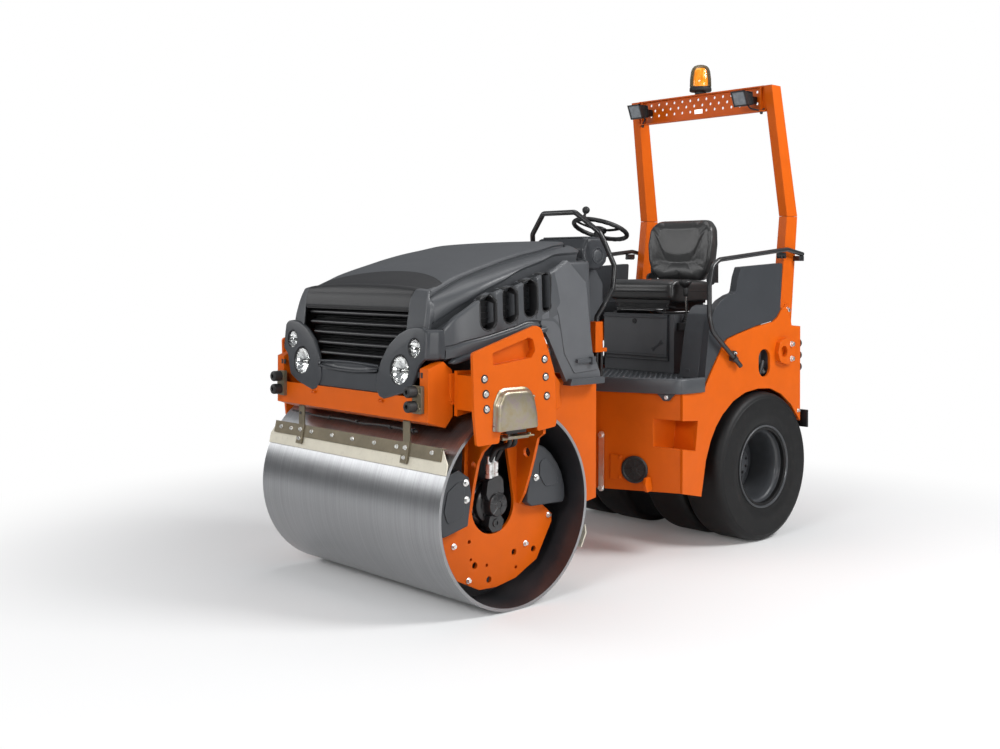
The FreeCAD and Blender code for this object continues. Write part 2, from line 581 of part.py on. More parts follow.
# ===========================================================================
# OPERATOR'S PLATFORM
# ===========================================================================
floor_plan = [(-1012, 40), (-1075, 215), (-1250, REAR_Y + 2), (-1446, REAR_Y + 2), (-1446, 430), (-1640, 430),
              (-1640, -430), (-1446, -430), (-1446, -REAR_Y - 2), (-1250, -REAR_Y - 2), (-1075, -215), (-1012, -40)]
plat = xy(floor_plan, 882, 930)
skirt_out = xy([(-1012, 40), (-1075, 215), (-1250, REAR_Y + 2), (-1430, REAR_Y + 2), (-1430, 620), (-1236, 624), (-1062, 222), (-1004, 46)], 868, 930)
save("platform_floor", plat)

# seat box: hollow, its front is the door
sb = box(-2058, -1620, -262, 262, 932, 1262).cut(box(-2046, -1600, -246, 214, 1022, 1246))
save("seat_box", sb)
door = box(-1620, -1606, -248, 216, 1023, 1245)
door = box(-1618.5, -1604.5, -245, 213, 1023, 1245).fuse(ycyl(-1611.5, 1023, 6, -240, 208)).removeSplitter()
save("box_door", door)

# side covers
cov_pts = [(-2175, 1556), (-1778, 1531), (-1732, 1390), (-1669, 1378), (-1543, 1312), (-1495, 1203),
           (-1466, 1000), (-1452, 900), (-1516, 987), (-1615, 1116), (-1647, 1142), (-1744, 1167), (-1902, 1201),
           (-2078, 1227), (-2119, 1249), (-2155, 1290)]
scov = xz(cov_pts, 560, 604)
in_pts = [(-2056, 1320), (-1585, 1322), (-1540, 1300), (-1500, 1180), (-1466, 1000), (-1452, 932), (-1600, 932), (-1618, 1242),
          (-2056, 1242)]
inner_cov = xz(in_pts, 432, 560.5)
save_pair("side_covers", union([scov, inner_cov]))

# seat
save("seat_rails", union([box(-2010, -1640, -200, 200, 1263, 1290), box(-1980, -1670, -170, 170, 1290, 1322)]))
cush = rxz([(-1622, 1345), (-1622, 1440), (-1660, 1462), (-1960, 1452), (-2000, 1452), (-2000, 1335), (-1680, 1323)], -240, 240,
           [20, 25, 30, 30, 10, 10, 20])
save("seat_cushion", cush)
back = ryz([(-125, 1466), (-190, 1502), (-228, 1573), (-240, 1667), (-204, 1765), (-142, 1808), (142, 1808), (204, 1765), (240, 1667),
            (228, 1573), (190, 1502), (125, 1466)], -2078, -2000, 30)
save("seat_backrest", back)
# drive lever
lev = union([Part.makeCylinder(8, 220, V(-1690, 300, 1215), V(0.08, 0, 1)), box(-1730, -1645, 268, 332, 1180, 1216),
             rxz([(-1640, 1425), (-1650, 1450), (-1700, 1450), (-1708, 1425), (-1690, 1410), (-1656, 1410)], 280, 320, 8)])
save("drive_lever", lev)

# console
pod = rxz([(-958, 1560), (-958, 1640), (-1000, 1686), (-1100, 1686), (-1150, 1640), (-1136, 1560), (-1080, 1515), (-1000, 1515)],
          -190, 190, 25)
col = box(-1120, -1020, -150, 150, 931, 1530)
colx = xz([(-1016, 931), (-1016, 1520), (-1120, 1520), (-1180, 1440), (-1180, 1330), (-1130, 1200), (-1130, 931)], -120, 120)
console = union([pod, colx])
save("console", console)
n = V(-math.sin(0.357), 0, math.cos(0.357))
WC = V(-1292, 0, 1741)
WHEEL_R = 152.0
colm = Part.makeCylinder(28, 330, WC - n * 350, n)
scol = colm.cut(console)
save("steering_column", scol.Solids[0] if scol.Solids else scol)
# steering wheel
tor = Part.makeTorus(WHEEL_R, 13, V(0, 0, 0), V(0, 0, 1))
hubw = Part.makeCylinder(34, 26, V(0, 0, -16))
sp = [Part.makeCylinder(9, WHEEL_R, V(0, 0, -4), V(math.cos(a), math.sin(a), 0.0)) for a in
      (math.radians(90), math.radians(210), math.radians(330))]
knob = Part.makeCylinder(8, 44, V(WHEEL_R - 6, 0, 6)).fuse(Part.makeSphere(20, V(WHEEL_R - 6, 0, 56)))
wheel = union([tor, hubw] + sp + [knob])
wheel.rotate(V(0, 0, 0), V(0, 1, 0), -math.degrees(0.357))
wheel.translate(WC)
save("steering_wheel", wheel)

# console hoop
hoop_pts = [(-984, 258, 1241), (-984, 258, 1264), (-1004, 292, 1330), (-1062, 300, 1414), (-1078, 300, 1530), (-1030, 272, 1655), (-1009, 253, 1711), (-961, 120, 1820)]
hp = hoop_pts + [(x, -y, z) for x, y, z in reversed(hoop_pts)]
hoop = tube(hp, 14, 35)
save("console_hoop", hoop)
hoop_br = both(union([box(-1012, -956, 236, 276, 1080, 1240), box(-1060, -976, 120.5, 262, 1080, 1100)]))
save("hoop_brackets", hoop_br)

# grab rails
rail_pts = [(-2400, 590, 1610), (-2240, 590, 1636), (-1600, 590, 1570), (-1540, 590, 1535), (-1500, 600, 1430), (-1468, 626, 1258),
            (-1486, 634, 1184), (-1735, 634, 990)]
rail = tube(rail_pts, 13, [0, 50, 60, 60, 80, 80, 60, 0])
foot = box(-1700, -1660, REAR_Y + 0.5, 634, 1030, 1062)
rail = rail
save_pair("grab_rails", rail)

# roll-over bar
lo = xz([(-2206, 1180), (-2288, BAR_SEAM_Z), (-2394, BAR_SEAM_Z), (-2330, 1180)], 504, 558)
save_pair("rops_lower_posts", lo)
z0, z1 = BAR_SEAM_Z + 2, BAR_TOP_Z
up = loft([[(-2288, 504, z0), (-2394, 504, z0), (-2394, 558, z0), (-2288, 558, z0)],
           [(-2166, 479, z1), (-2256, 479, z1), (-2256, 533, z1), (-2166, 533, z1)]])
save_pair("rops_upper_posts", up)
cross = union([box(-2200, -2192, -478, 478, 2440, 2590), box(-2200, -2170, -478, 478, 2582, 2590),
               box(-2200, -2170, -478, 478, 2440, 2448)])
cb_holes = []
for k in range(-7, 8):
    for hz, off in ((2491, -20), (2525, 11), (2560, -20)):
        hy = 62.0 * k + off
        if abs(hy) < 440 and not (hz == 2491 and -50 < hy < 22):
            cb_holes.append(cyl(-2210, hy, hz, (1, 0, 0), 9.2, 30))
cross = cross.cut(Part.makeCompound(cb_holes))
cross = cross.fuse(box(-2192, -2170, -456, -448, 2448, 2582)).fuse(box(-2192, -2170, 448, 456, 2448, 2582)).removeSplitter()
save("rops_crossbar", cross)
wl = loft([[(-2130, 360, 2486), (-2130, 432, 2486), (-2130, 432, 2540), (-2130, 360, 2540)],
           [(-2060, 351, 2466), (-2060, 441, 2466), (-2026, 441, 2548), (-2026, 351, 2548)]])
wl = wl.fuse(box(-2191.7, -2125, 376, 416, 2490, 2530))
save_pair("work_lamps", wl)
bc = union([cyl(-2192, 0, 2590.3, (0, 0, 1), 34, 16), cyl(-2192, 0, 2606, (0, 0, 1), 66, 26),
            Part.makeCone(66, 58, 104, V(-2192, 0, 2632), V(0, 0, 1)), Part.makeCone(58, 34, 34, V(-2192, 0, 2736), V(0, 0, 1))])
save("beacon", bc)
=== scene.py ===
import bpy
import bmesh
import json
import math
from mathutils import Vector, Matrix, noise


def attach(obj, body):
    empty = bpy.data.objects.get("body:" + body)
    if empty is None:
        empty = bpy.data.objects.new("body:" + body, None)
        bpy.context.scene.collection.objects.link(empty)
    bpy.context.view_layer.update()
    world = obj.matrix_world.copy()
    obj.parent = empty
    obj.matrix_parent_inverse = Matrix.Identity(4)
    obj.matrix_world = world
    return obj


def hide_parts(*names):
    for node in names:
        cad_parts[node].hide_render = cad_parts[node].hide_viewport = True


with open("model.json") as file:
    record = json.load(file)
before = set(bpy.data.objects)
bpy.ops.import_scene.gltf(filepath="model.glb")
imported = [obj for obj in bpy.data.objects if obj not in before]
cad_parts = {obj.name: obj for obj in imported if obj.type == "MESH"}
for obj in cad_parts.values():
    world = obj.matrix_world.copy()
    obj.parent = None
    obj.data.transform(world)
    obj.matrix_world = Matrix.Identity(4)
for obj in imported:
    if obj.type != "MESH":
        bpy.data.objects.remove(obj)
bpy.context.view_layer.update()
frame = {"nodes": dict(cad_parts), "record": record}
NODES = frame["nodes"]
OX = 952.0


def P(x, y, z):
    return Vector(((x + OX) / 1000.0, y / 1000.0, z / 1000.0))


# ---------------------------------------------------------------- materials
def new_mat(name):
    m = bpy.data.materials.new(name)
    m.use_nodes = True
    nt = m.node_tree
    b = nt.nodes["Principled BSDF"]
    return m, nt, b


def link(nt, a, b):
    nt.links.new(a, b)


def add(nt, kind, **kw):
    n = nt.nodes.new(kind)
    for k, v in kw.items():
        setattr(n, k, v)
    return n


def coords(nt, scale=(1, 1, 1)):
    c = add(nt, "ShaderNodeTexCoord")
    mp = add(nt, "ShaderNodeMapping")
    mp.inputs["Scale"].default_value = scale
    link(nt, c.outputs["Object"], mp.inputs["Vector"])
    return mp.outputs["Vector"]


def noise_tex(nt, vec, scale, detail=3.0, rough=0.5):
    n = add(nt, "ShaderNodeTexNoise")
    n.inputs["Scale"].default_value = scale
    n.inputs["Detail"].default_value = detail
    n.inputs["Roughness"].default_value = rough
    link(nt, vec, n.inputs["Vector"])
    return n


def ramp(nt, fac, stops):
    r = add(nt, "ShaderNodeValToRGB")
    el = r.color_ramp.elements
    while len(el) > 1:
        el.remove(el[-1])
    el[0].position, el[0].color = stops[0][0], stops[0][1]
    for p, c in stops[1:]:
        e = el.new(p)
        e.color = c
    link(nt, fac, r.inputs["Fac"])
    return r.outputs["Color"]


def rgb(c, f=1.0):
    return (c[0] * f, c[1] * f, c[2] * f, 1.0)


def bump(nt, b, height, strength, dist=0.001, chain=None, edge=0.0):
    bp = add(nt, "ShaderNodeBump")
    bp.inputs["Strength"].default_value = strength
    bp.inputs["Distance"].default_value = dist
    link(nt, height, bp.inputs["Height"])
    if edge > 0:
        bv = add(nt, "ShaderNodeBevel", samples=4)
        bv.inputs["Radius"].default_value = edge
        link(nt, bv.outputs["Normal"], bp.inputs["Normal"])
    link(nt, bp.outputs["Normal"], b.inputs["Normal"])
    return bp


def surface(name, col, rough, metal=0.0, var=0.12, nscale=9.0, rvar=0.06, bscale=900.0, bstr=0.05, coat=0.0,
            edge=0.002, dirt=0.0, spec=0.5, sheen=0.0, bdist=0.0006):
    """A finish with slow colour drift, roughness drift and a fine grain."""
    m, nt, b = new_mat(name)
    v = coords(nt)
    n1 = noise_tex(nt, v, nscale, 4.0, 0.6)
    c = ramp(nt, n1.outputs["Fac"], [(0.25, rgb(col, 1 - var)), (0.75, rgb(col, 1 + var))])
    if dirt > 0:
        n3 = noise_tex(nt, v, nscale * 4.3, 8.0, 0.7)
        msk = ramp(nt, n3.outputs["Fac"], [(0.55, (0, 0, 0, 1)), (0.8, (dirt, dirt, dirt, 1))])
        mx = add(nt, "ShaderNodeMix", data_type="RGBA")
        link(nt, msk, mx.inputs[0])
        link(nt, c, mx.inputs[6])
        mx.inputs[7].default_value = (0.13, 0.11, 0.09, 1)
        c = mx.outputs[2]
    link(nt, c, b.inputs["Base Color"])
    n2 = noise_tex(nt, v, nscale * 2.7, 5.0, 0.6)
    mr = add(nt, "ShaderNodeMapRange")
    mr.inputs["To Min"].default_value = max(0.03, rough - rvar)
    mr.inputs["To Max"].default_value = min(1.0, rough + rvar)
    link(nt, n2.outputs["Fac"], mr.inputs["Value"])
    link(nt, mr.outputs["Result"], b.inputs["Roughness"])
    b.inputs["Metallic"].default_value = metal
    b.inputs["Coat Weight"].default_value = coat
    b.inputs["Coat Roughness"].default_value = 0.12
    b.inputs["Specular IOR Level"].default_value = spec
    b.inputs["Sheen Weight"].default_value = sheen
    g = noise_tex(nt, v, bscale, 2.0, 0.5)
    bump(nt, b, g.outputs["Fac"], bstr, bdist, edge=edge)
    return m


M = {}
M["orange"] = surface("orange_paint", (0.60, 0.098, 0.0010), 0.45, var=0.05, coat=0.06, spec=0.20, bscale=260, bstr=0.05, edge=0.0025)
M["grey"] = surface("grey_plastic", (0.053, 0.057, 0.063), 0.46, var=0.08, bscale=1500, bstr=0.14, edge=0.0025, rvar=0.05)
M["greyhi"] = surface("grey_plastic_smooth", (0.036, 0.039, 0.044), 0.38, var=0.06, bscale=1500, bstr=0.06, edge=0.0025)
# lighter copy of the grey plastic: painted light on faces that sit in shade or catch the key light
M["grey_painted_lit"] = surface("grey_plastic_painted_lit", (0.094, 0.098, 0.105), 0.42, var=0.07, bscale=1500, bstr=0.10, edge=0.0025)
# a still lighter copy of the same grey plastic for the side covers: painted light
M["grey_cover_painted_lit"] = surface("grey_plastic_cover_painted_lit", (0.125, 0.130, 0.139), 0.38, var=0.06, bscale=1500, bstr=0.08, edge=0.0025)
M["black"] = surface("black_plastic", (0.0075, 0.0075, 0.0083), 0.5, var=0.15, bscale=1300, bstr=0.15, edge=0.0015)
M["mask"] = surface("matte_black_panel", (0.009, 0.009, 0.010), 0.55, var=0.1, bscale=1700, bstr=0.12, edge=0.002)
M["zinc"] = surface("zinc_bolt", (0.86, 0.86, 0.84), 0.30, metal=1.0, var=0.1, nscale=30, bscale=500, bstr=0.06, edge=0.0008)
M["tyre"] = surface("tyre_rubber", (0.0052, 0.0052, 0.0055), 0.55, var=0.16, nscale=5, bscale=700, bstr=0.22, edge=0.0, dirt=0.10, spec=0.30)
M["rubber"] = surface("black_rubber", (0.014, 0.014, 0.014), 0.55, var=0.15, bscale=900, bstr=0.2, edge=0.0015)
M["rim"] = surface("rim_paint", (0.050, 0.053, 0.058), 0.38, var=0.08, coat=0.2, bscale=300, bstr=0.05, edge=0.0015)
M["blade"] = surface("scraper_plastic", (0.66, 0.62, 0.51), 0.5, var=0.07, bscale=500, bstr=0.08, dirt=0.25, edge=0.001)
M["khaki"] = surface("scraper_steel", (0.20, 0.17, 0.115), 0.42, metal=0.55, var=0.2, nscale=12, bscale=400, bstr=0.15, dirt=0.4)
M["bsteel"] = surface("black_steel", (0.016, 0.016, 0.017), 0.33, var=0.1, coat=0.3, bscale=350, bstr=0.06, edge=0.0)
M["engine"] = surface("engine_metal", (0.10, 0.105, 0.11), 0.5, metal=0.6, var=0.25, nscale=14, bscale=300, bstr=0.3, dirt=0.5)
M["reflector"] = surface("lamp_reflector", (0.86, 0.86, 0.84), 0.16, metal=1.0, var=0.03, bscale=180, bstr=0.5, edge=0.0)
M["lens_grey"] = surface("lamp_lens", (0.23, 0.25, 0.27), 0.14, metal=0.35, var=0.25, nscale=40, bscale=220, bstr=0.5, edge=0.0)
M["chrome"] = surface("bright_steel", (0.34, 0.34, 0.33), 0.2, metal=1.0, var=0.06, bscale=300, bstr=0.03, edge=0.0)


def chromate(name, c1, c2, c3, rough):
    m, nt, b = new_mat(name)
    v = coords(nt)
    n1 = noise_tex(nt, v, 22.0, 5.0, 0.6)
    c = ramp(nt, n1.outputs["Fac"], [(0.25, c1), (0.5, c2), (0.72, c3)])
    link(nt, c, b.inputs["Base Color"])
    n2 = noise_tex(nt, v, 60.0, 4.0, 0.6)
    mr = add(nt, "ShaderNodeMapRange")
    mr.inputs["To Min"].default_value = rough - 0.07
    mr.inputs["To Max"].default_value = rough + 0.1
    link(nt, n2.outputs["Fac"], mr.inputs["Value"])
    link(nt, mr.outputs["Result"], b.inputs["Roughness"])
    b.inputs["Metallic"].default_value = 0.85
    bump(nt, b, n2.outputs["Fac"], 0.1, 0.0006, edge=0.002)
    return m


M["chromate"] = chromate("yellow_zinc", (0.34, 0.27, 0.15, 1), (0.36, 0.32, 0.24, 1), (0.34, 0.26, 0.28, 1), 0.34)


def drum_material():
    """Ground steel outside with fine rings, dull dark paint inside the ends."""
    m, nt, b = new_mat("drum_steel")
    v = coords(nt, (0.6, 1.0, 0.6))
    rings = noise_tex(nt, coords(nt, (0.5, 420.0, 0.5)), 1.0, 5.0, 0.6)
    slow = noise_tex(nt, coords(nt, (2.0, 9.0, 2.0)), 1.0, 3.0, 0.5)
    col = ramp(nt, rings.outputs["Fac"], [(0.3, (0.29, 0.294, 0.302, 1)), (0.7, (0.43, 0.435, 0.445, 1))])
    # radius from the drum's axis
    c = add(nt, "ShaderNodeTexCoord")
    s = add(nt, "ShaderNodeSeparateXYZ")
    link(nt, c.outputs["Object"], s.inputs[0])
    dx = add(nt, "ShaderNodeMath", operation="SUBTRACT")
    link(nt, s.outputs["X"], dx.inputs[0])
    dx.inputs[1].default_value = OX / 1000.0
    dz = add(nt, "ShaderNodeMath", operation="SUBTRACT")
    link(nt, s.outputs["Z"], dz.inputs[0])
    dz.inputs[1].default_value = 0.45
    xx = add(nt, "ShaderNodeMath", operation="MULTIPLY")
    link(nt, dx.outputs[0], xx.inputs[0])
    link(nt, dx.outputs[0], xx.inputs[1])
    zz = add(nt, "ShaderNodeMath", operation="MULTIPLY")
    link(nt, dz.outputs[0], zz.inputs[0])
    link(nt, dz.outputs[0], zz.inputs[1])
    rr = add(nt, "ShaderNodeMath", operation="ADD")
    link(nt, xx.outputs[0], rr.inputs[0])
    link(nt, zz.outputs[0], rr.inputs[1])
    r = add(nt, "ShaderNodeMath", operation="SQRT")
    link(nt, rr.outputs[0], r.inputs[0])
    gt = add(nt, "ShaderNodeMath", operation="GREATER_THAN")
    link(nt, r.outputs[0], gt.inputs[0])
    gt.inputs[1].default_value = 0.4358
    mix = add(nt, "ShaderNodeMix", data_type="RGBA")
    link(nt, gt.outputs[0], mix.inputs[0])
    n_in = noise_tex(nt, coords(nt), 3.0, 5.0, 0.6)
    cin = ramp(nt, n_in.outputs["Fac"], [(0.35, (0.020, 0.021, 0.024, 1)), (0.62, (0.040, 0.034, 0.036, 1))])
    link(nt, cin, mix.inputs[6])
    link(nt, col, mix.inputs[7])
    link(nt, mix.outputs[2], b.inputs["Base Color"])
    mm = add(nt, "ShaderNodeMapRange")
    mm.inputs["To Min"].default_value = 0.0
    mm.inputs["To Max"].default_value = 0.92
    link(nt, gt.outputs[0], mm.inputs["Value"])
    link(nt, mm.outputs["Result"], b.inputs["Metallic"])
    rn = add(nt, "ShaderNodeMapRange")
    rn.inputs["To Min"].default_value = 0.26
    rn.inputs["To Max"].default_value = 0.34
    link(nt, slow.outputs["Fac"], rn.inputs["Value"])
    link(nt, rn.outputs["Result"], b.inputs["Roughness"])
    b.inputs["Anisotropic"].default_value = 0.0
    bump(nt, b, rings.outputs["Fac"], 0.25, 0.0004, edge=0.0)
    return m


M["drum"] = drum_material()


def tread_material():
    """Plastic floor with raised studs on faces that look up."""
    m, nt, b = new_mat("floor_plastic")
    b.inputs["Base Color"].default_value = (0.040, 0.045, 0.050, 1)
    v = coords(nt, (55.0, 55.0, 0.0))
    vor = add(nt, "ShaderNodeTexVoronoi", feature="F1")
    vor.inputs["Scale"].default_value = 1.0
    vor.inputs["Randomness"].default_value = 0.0
    link(nt, v, vor.inputs["Vector"])
    c = ramp(nt, vor.outputs["Distance"], [(0.20, (1, 1, 1, 1)), (0.34, (0, 0, 0, 1))])
    g = add(nt, "ShaderNodeNewGeometry")
    s = add(nt, "ShaderNodeSeparateXYZ")
    link(nt, g.outputs["Normal"], s.inputs[0])
    up = add(nt, "ShaderNodeMath", operation="GREATER_THAN")
    link(nt, s.outputs["Z"], up.inputs[0])
    up.inputs[1].default_value = 0.8
    mu = add(nt, "ShaderNodeMath", operation="MULTIPLY")
    link(nt, c, mu.inputs[0])
    link(nt, up.outputs[0], mu.inputs[1])
    b.inputs["Roughness"].default_value = 0.5
    bump(nt, b, mu.outputs[0], 0.9, 0.003, edge=0.003)
    n1 = noise_tex(nt, coords(nt), 8.0, 4.0, 0.6)
    cc = ramp(nt, n1.outputs["Fac"], [(0.3, (0.036, 0.040, 0.045, 1)), (0.7, (0.050, 0.055, 0.061, 1))])
    link(nt, cc, b.inputs["Base Color"])
    return m


M["floor"] = tread_material()


def vinyl_material():
    m, nt, b = new_mat("seat_vinyl")
    v = coords(nt)
    vor = add(nt, "ShaderNodeTexVoronoi", feature="F1")
    vor.inputs["Scale"].default_value = 420.0
    link(nt, v, vor.inputs["Vector"])
    n1 = noise_tex(nt, v, 10.0, 4.0, 0.6)
    c = ramp(nt, n1.outputs["Fac"], [(0.3, (0.022, 0.022, 0.022, 1)), (0.7, (0.032, 0.032, 0.032, 1))])
    link(nt, c, b.inputs["Base Color"])
    b.inputs["Roughness"].default_value = 0.36
    b.inputs["Coat Weight"].default_value = 0.25
    b.inputs["Coat Roughness"].default_value = 0.25
    bump(nt, b, vor.outputs["Distance"], 0.22, 0.0006)
    return m


M["vinyl"] = vinyl_material()


def amber_material():
    m, nt, b = new_mat("beacon_amber")
    n1 = noise_tex(nt, coords(nt, (1, 1, 0.3)), 60.0, 4.0, 0.5)
    c = ramp(nt, n1.outputs["Fac"], [(0.3, (0.85, 0.30, 0.01, 1)), (0.55, (0.95, 0.46, 0.04, 1)), (0.75, (1.0, 0.66, 0.18, 1))])
    link(nt, c, b.inputs["Base Color"])
    link(nt, c, b.inputs["Emission Color"])
    b.inputs["Emission Strength"].default_value = 0.45
    b.inputs["Roughness"].default_value = 0.15
    b.inputs["Transmission Weight"].default_value = 0.25
    b.inputs["Coat Weight"].default_value = 0.5
    bump(nt, b, n1.outputs["Fac"], 0.3, 0.001)
    return m


def glass_material(name, tint, rough=0.03):
    m, nt, b = new_mat(name)
    n1 = noise_tex(nt, coords(nt), 20.0, 2.0, 0.5)
    c = ramp(nt, n1.outputs["Fac"], [(0.3, tint), (0.7, tuple(min(1, t * 1.04) for t in tint[:3]) + (1,))])
    link(nt, c, b.inputs["Base Color"])
    b.inputs["Roughness"].default_value = rough
    b.inputs["Transmission Weight"].default_value = 1.0
    b.inputs["IOR"].default_value = 1.35
    return m


M["amber"] = amber_material()
M["glass"] = glass_material("clear_lens", (0.95, 0.96, 0.97, 1))
M["smoke"] = glass_material("smoke_dome", (0.93, 0.80, 0.58, 1), 0.04)

# ---------------------------------------------------------------- geometry helpers


def finish_mesh(name, me, mat, body, smooth=40.0, bevel=0.0, seg=2, nodes=()):
    ob = bpy.data.objects.new(name, me)
    bpy.context.scene.collection.objects.link(ob)
    me.materials.append(M[mat] if isinstance(mat, str) else mat)
    if smooth is not None:
        me.shade_smooth()
        me.set_sharp_from_angle(angle=math.radians(smooth))
    if bevel > 0:
        bv = ob.modifiers.new("bevel", "BEVEL")
        bv.width = bevel / 1000.0
        bv.segments = seg
        bv.limit_method = "ANGLE"
        bv.angle_limit = math.radians(32)
        bv.harden_normals = True
    if nodes:
        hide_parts(*nodes)
    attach(ob, body)
    return ob


def mesh_from(bm):
    me = bpy.data.meshes.new("m")
    bmesh.ops.recalc_face_normals(bm, faces=bm.faces)
    bm.to_mesh(me)
    bm.free()
    return me


def mesh_out(bm, ref):
    """Open surfaces: every face is turned away from ref, a P() point inside."""
    bm.normal_update()
    for f in bm.faces:
        if f.normal.dot(f.calc_center_median() - ref) < 0:
            f.normal_flip()
    me = bpy.data.meshes.new("m")
    bm.to_mesh(me)
    bm.free()
    return me


def prism_into(bm, pts, vec):
    """pts: P() points of one face, vec in metres."""
    lo = [bm.verts.new(p) for p in pts]
    hi = [bm.verts.new(p + vec) for p in pts]
    n = len(pts)
    bm.faces.new(lo)
    bm.faces.new(list(reversed(hi)))
    for i in range(n):
        bm.faces.new((lo[i], lo[(i + 1) % n], hi[(i + 1) % n], hi[i]))


def rounded(pts, rad, seg=5):
    """2-D polygon with its corners rounded."""
    out = []
    n = len(pts)
    rads = rad if isinstance(rad, (list, tuple)) else [rad] * n
    for i in range(n):
        p = Vector(pts[i])
        a = Vector(pts[i - 1])
        b = Vector(pts[(i + 1) % n])
        r = rads[i]
        di, do = (p - a), (b - p)
        la, lb = di.length, do.length
        di.normalize()
        do.normalize()
        ang = di.angle(do, 0.0)
        if r <= 0 or ang < 0.02:
            out.append(tuple(p))
            continue
        t = min(r * math.tan(ang / 2), 0.48 * la, 0.48 * lb)
        s, e = p - di * t, p + do * t
        for k in range(seg + 1):
            u = k / seg
            out.append(tuple(s.lerp(p, u).lerp(p.lerp(e, u), u)))
    return out


def xz_prism(bm, pts, y0, y1, rad=0, seg=4):
    q = rounded(pts, rad, seg) if rad else pts
    prism_into(bm, [P(x, y0, z) for x, z in q], Vector((0, (y1 - y0) / 1000.0, 0)))


def xy_prism(bm, pts, z0, z1, rad=0, seg=4):
    q = rounded(pts, rad, seg) if rad else pts
    prism_into(bm, [P(x, y, z0) for x, y in q], Vector((0, 0, (z1 - z0) / 1000.0)))


def yz_prism(bm, pts, x0, x1, rad=0, seg=4):
    q = rounded(pts, rad, seg) if rad else pts
    prism_into(bm, [P(x0, y, z) for y, z in q], Vector(((x1 - x0) / 1000.0, 0, 0)))


def box_into(bm, x0, x1, y0, y1, z0, z1):
    xy_prism(bm, [(x0, y0), (x1, y0), (x1, y1), (x0, y1)], z0, z1)


def axis_matrix(origin, axis):
    a = Vector(axis).normalized()
    q = Vector((0, 0, 1)).rotation_difference(a)
    return Matrix.Translation(origin) @ q.to_matrix().to_4x4()


def lathe_into(bm, origin, axis, prof, n=40):
    """prof: (r, h) in mm along the axis; closed where r is 0."""
    mt = axis_matrix(origin, axis)
    rows = []
    for r, h in prof:
        if r < 1e-6:
            rows.append([bm.verts.new(mt @ Vector((0, 0, h / 1000.0)))])
        else:
            rows.append([bm.verts.new(mt @ Vector((r / 1000.0 * math.cos(2 * math.pi * k / n),
                                                    r / 1000.0 * math.sin(2 * math.pi * k / n), h / 1000.0)))
                         for k in range(n)])
    for a, b in zip(rows, rows[1:]):
        for k in range(n):
            k2 = (k + 1) % n
            if len(a) == 1 and len(b) == 1:
                continue
            if len(a) == 1:
                bm.faces.new((a[0], b[k], b[k2]))
            elif len(b) == 1:
                bm.faces.new((a[k], b[0], a[k2]))
            else:
                bm.faces.new((a[k], b[k], b[k2], a[k2]))


def ring_into(bm, origin, axis, prof, n=40):
    """A closed ring profile revolved round the axis."""
    lathe_into(bm, origin, axis, list(prof) + [prof[0]], n)
    bmesh.ops.remove_doubles(bm, verts=bm.verts, dist=1e-6)


def cyl_into(bm, origin, axis, r, h, n=28, ch=0.0):
    if ch > 0:
        prof = [(0, 0), (r - ch, 0), (r, ch), (r, h - ch), (r - ch, h), (0, h)]
    else:
        prof = [(0, 0), (r, 0), (r, h), (0, h)]
    lathe_into(bm, origin, axis, prof, n)


def hexbolt_into(bm, origin, axis, af=19.0, h=11.0, washer=0.0, wt=3.0, spin=0.3):
    """A hex head with a chamfer, a washer under it."""
    if washer > 0:
        cyl_into(bm, origin, axis, washer, wt, 24, 0.6)
    o2 = origin + Vector(axis).normalized() * (wt / 1000.0 if washer > 0 else 0.0)
    mt = axis_matrix(o2, axis) @ Matrix.Rotation(spin, 4, "Z")
    r = af / math.sqrt(3)
    lv = []
    for rr, hh in ((r, 0), (r, h - 1.6), (r * 0.86, h)):
        lv.append([bm.verts.new(mt @ Vector((rr / 1000 * math.cos(math.pi / 3 * k), rr / 1000 * math.sin(math.pi / 3 * k), hh / 1000)))
                   for k in range(6)])
    for a, b in zip(lv, lv[1:]):
        for k in range(6):
            bm.faces.new((a[k], a[(k + 1) % 6], b[(k + 1) % 6], b[k]))
    bm.faces.new(lv[-1])
    bm.faces.new(list(reversed(lv[0])))


def smooth_path(pts, rad, seg=6):
    out = []
    n = len(pts)
    for i, p in enumerate(pts):
        p = Vector(p)
        if i in (0, n - 1):
            out.append(p)
            continue
        a, b = Vector(pts[i - 1]), Vector(pts[i + 1])
        di, do = (p - a), (b - p)
        la, lb = di.length, do.length
        t = min(rad, 0.48 * la, 0.48 * lb)
        s, e = p - di.normalized() * t, p + do.normalized() * t
        for k in range(seg + 1):
            u = k / seg
            out.append(s.lerp(p, u).lerp(p.lerp(e, u), u))
    return out


def tube_into(bm, pts, r, rad=30.0, n=14, closed=False, caps=True):
    """pts in mm; a round tube along them."""
    path = smooth_path(pts, rad) if not closed else [Vector(p) for p in pts]
    path = [P(*p) for p in path]
    m = len(path)
    prev = None
    rows = []
    for i, p in enumerate(path):
        if closed:
            t = (path[(i + 1) % m] - path[i - 1]).normalized()
        else:
            t = (path[min(i + 1, m - 1)] - path[max(i - 1, 0)]).normalized()
        if prev is None:
            u = t.orthogonal().normalized()
        else:
            u = (prev - t * prev.dot(t)).normalized()
        prev = u
        w = t.cross(u)
        rows.append([bm.verts.new(p + (u * math.cos(2 * math.pi * k / n) + w * math.sin(2 * math.pi * k / n)) * (r / 1000.0))
                     for k in range(n)])
    for i in range(m if closed else m - 1):
        a, b = rows[i], rows[(i + 1) % m]
        for k in range(n):
            bm.faces.new((a[k], b[k], b[(k + 1) % n], a[(k + 1) % n]))
    if not closed and caps:
        bm.faces.new(rows[0])
        bm.faces.new(list(reversed(rows[-1])))


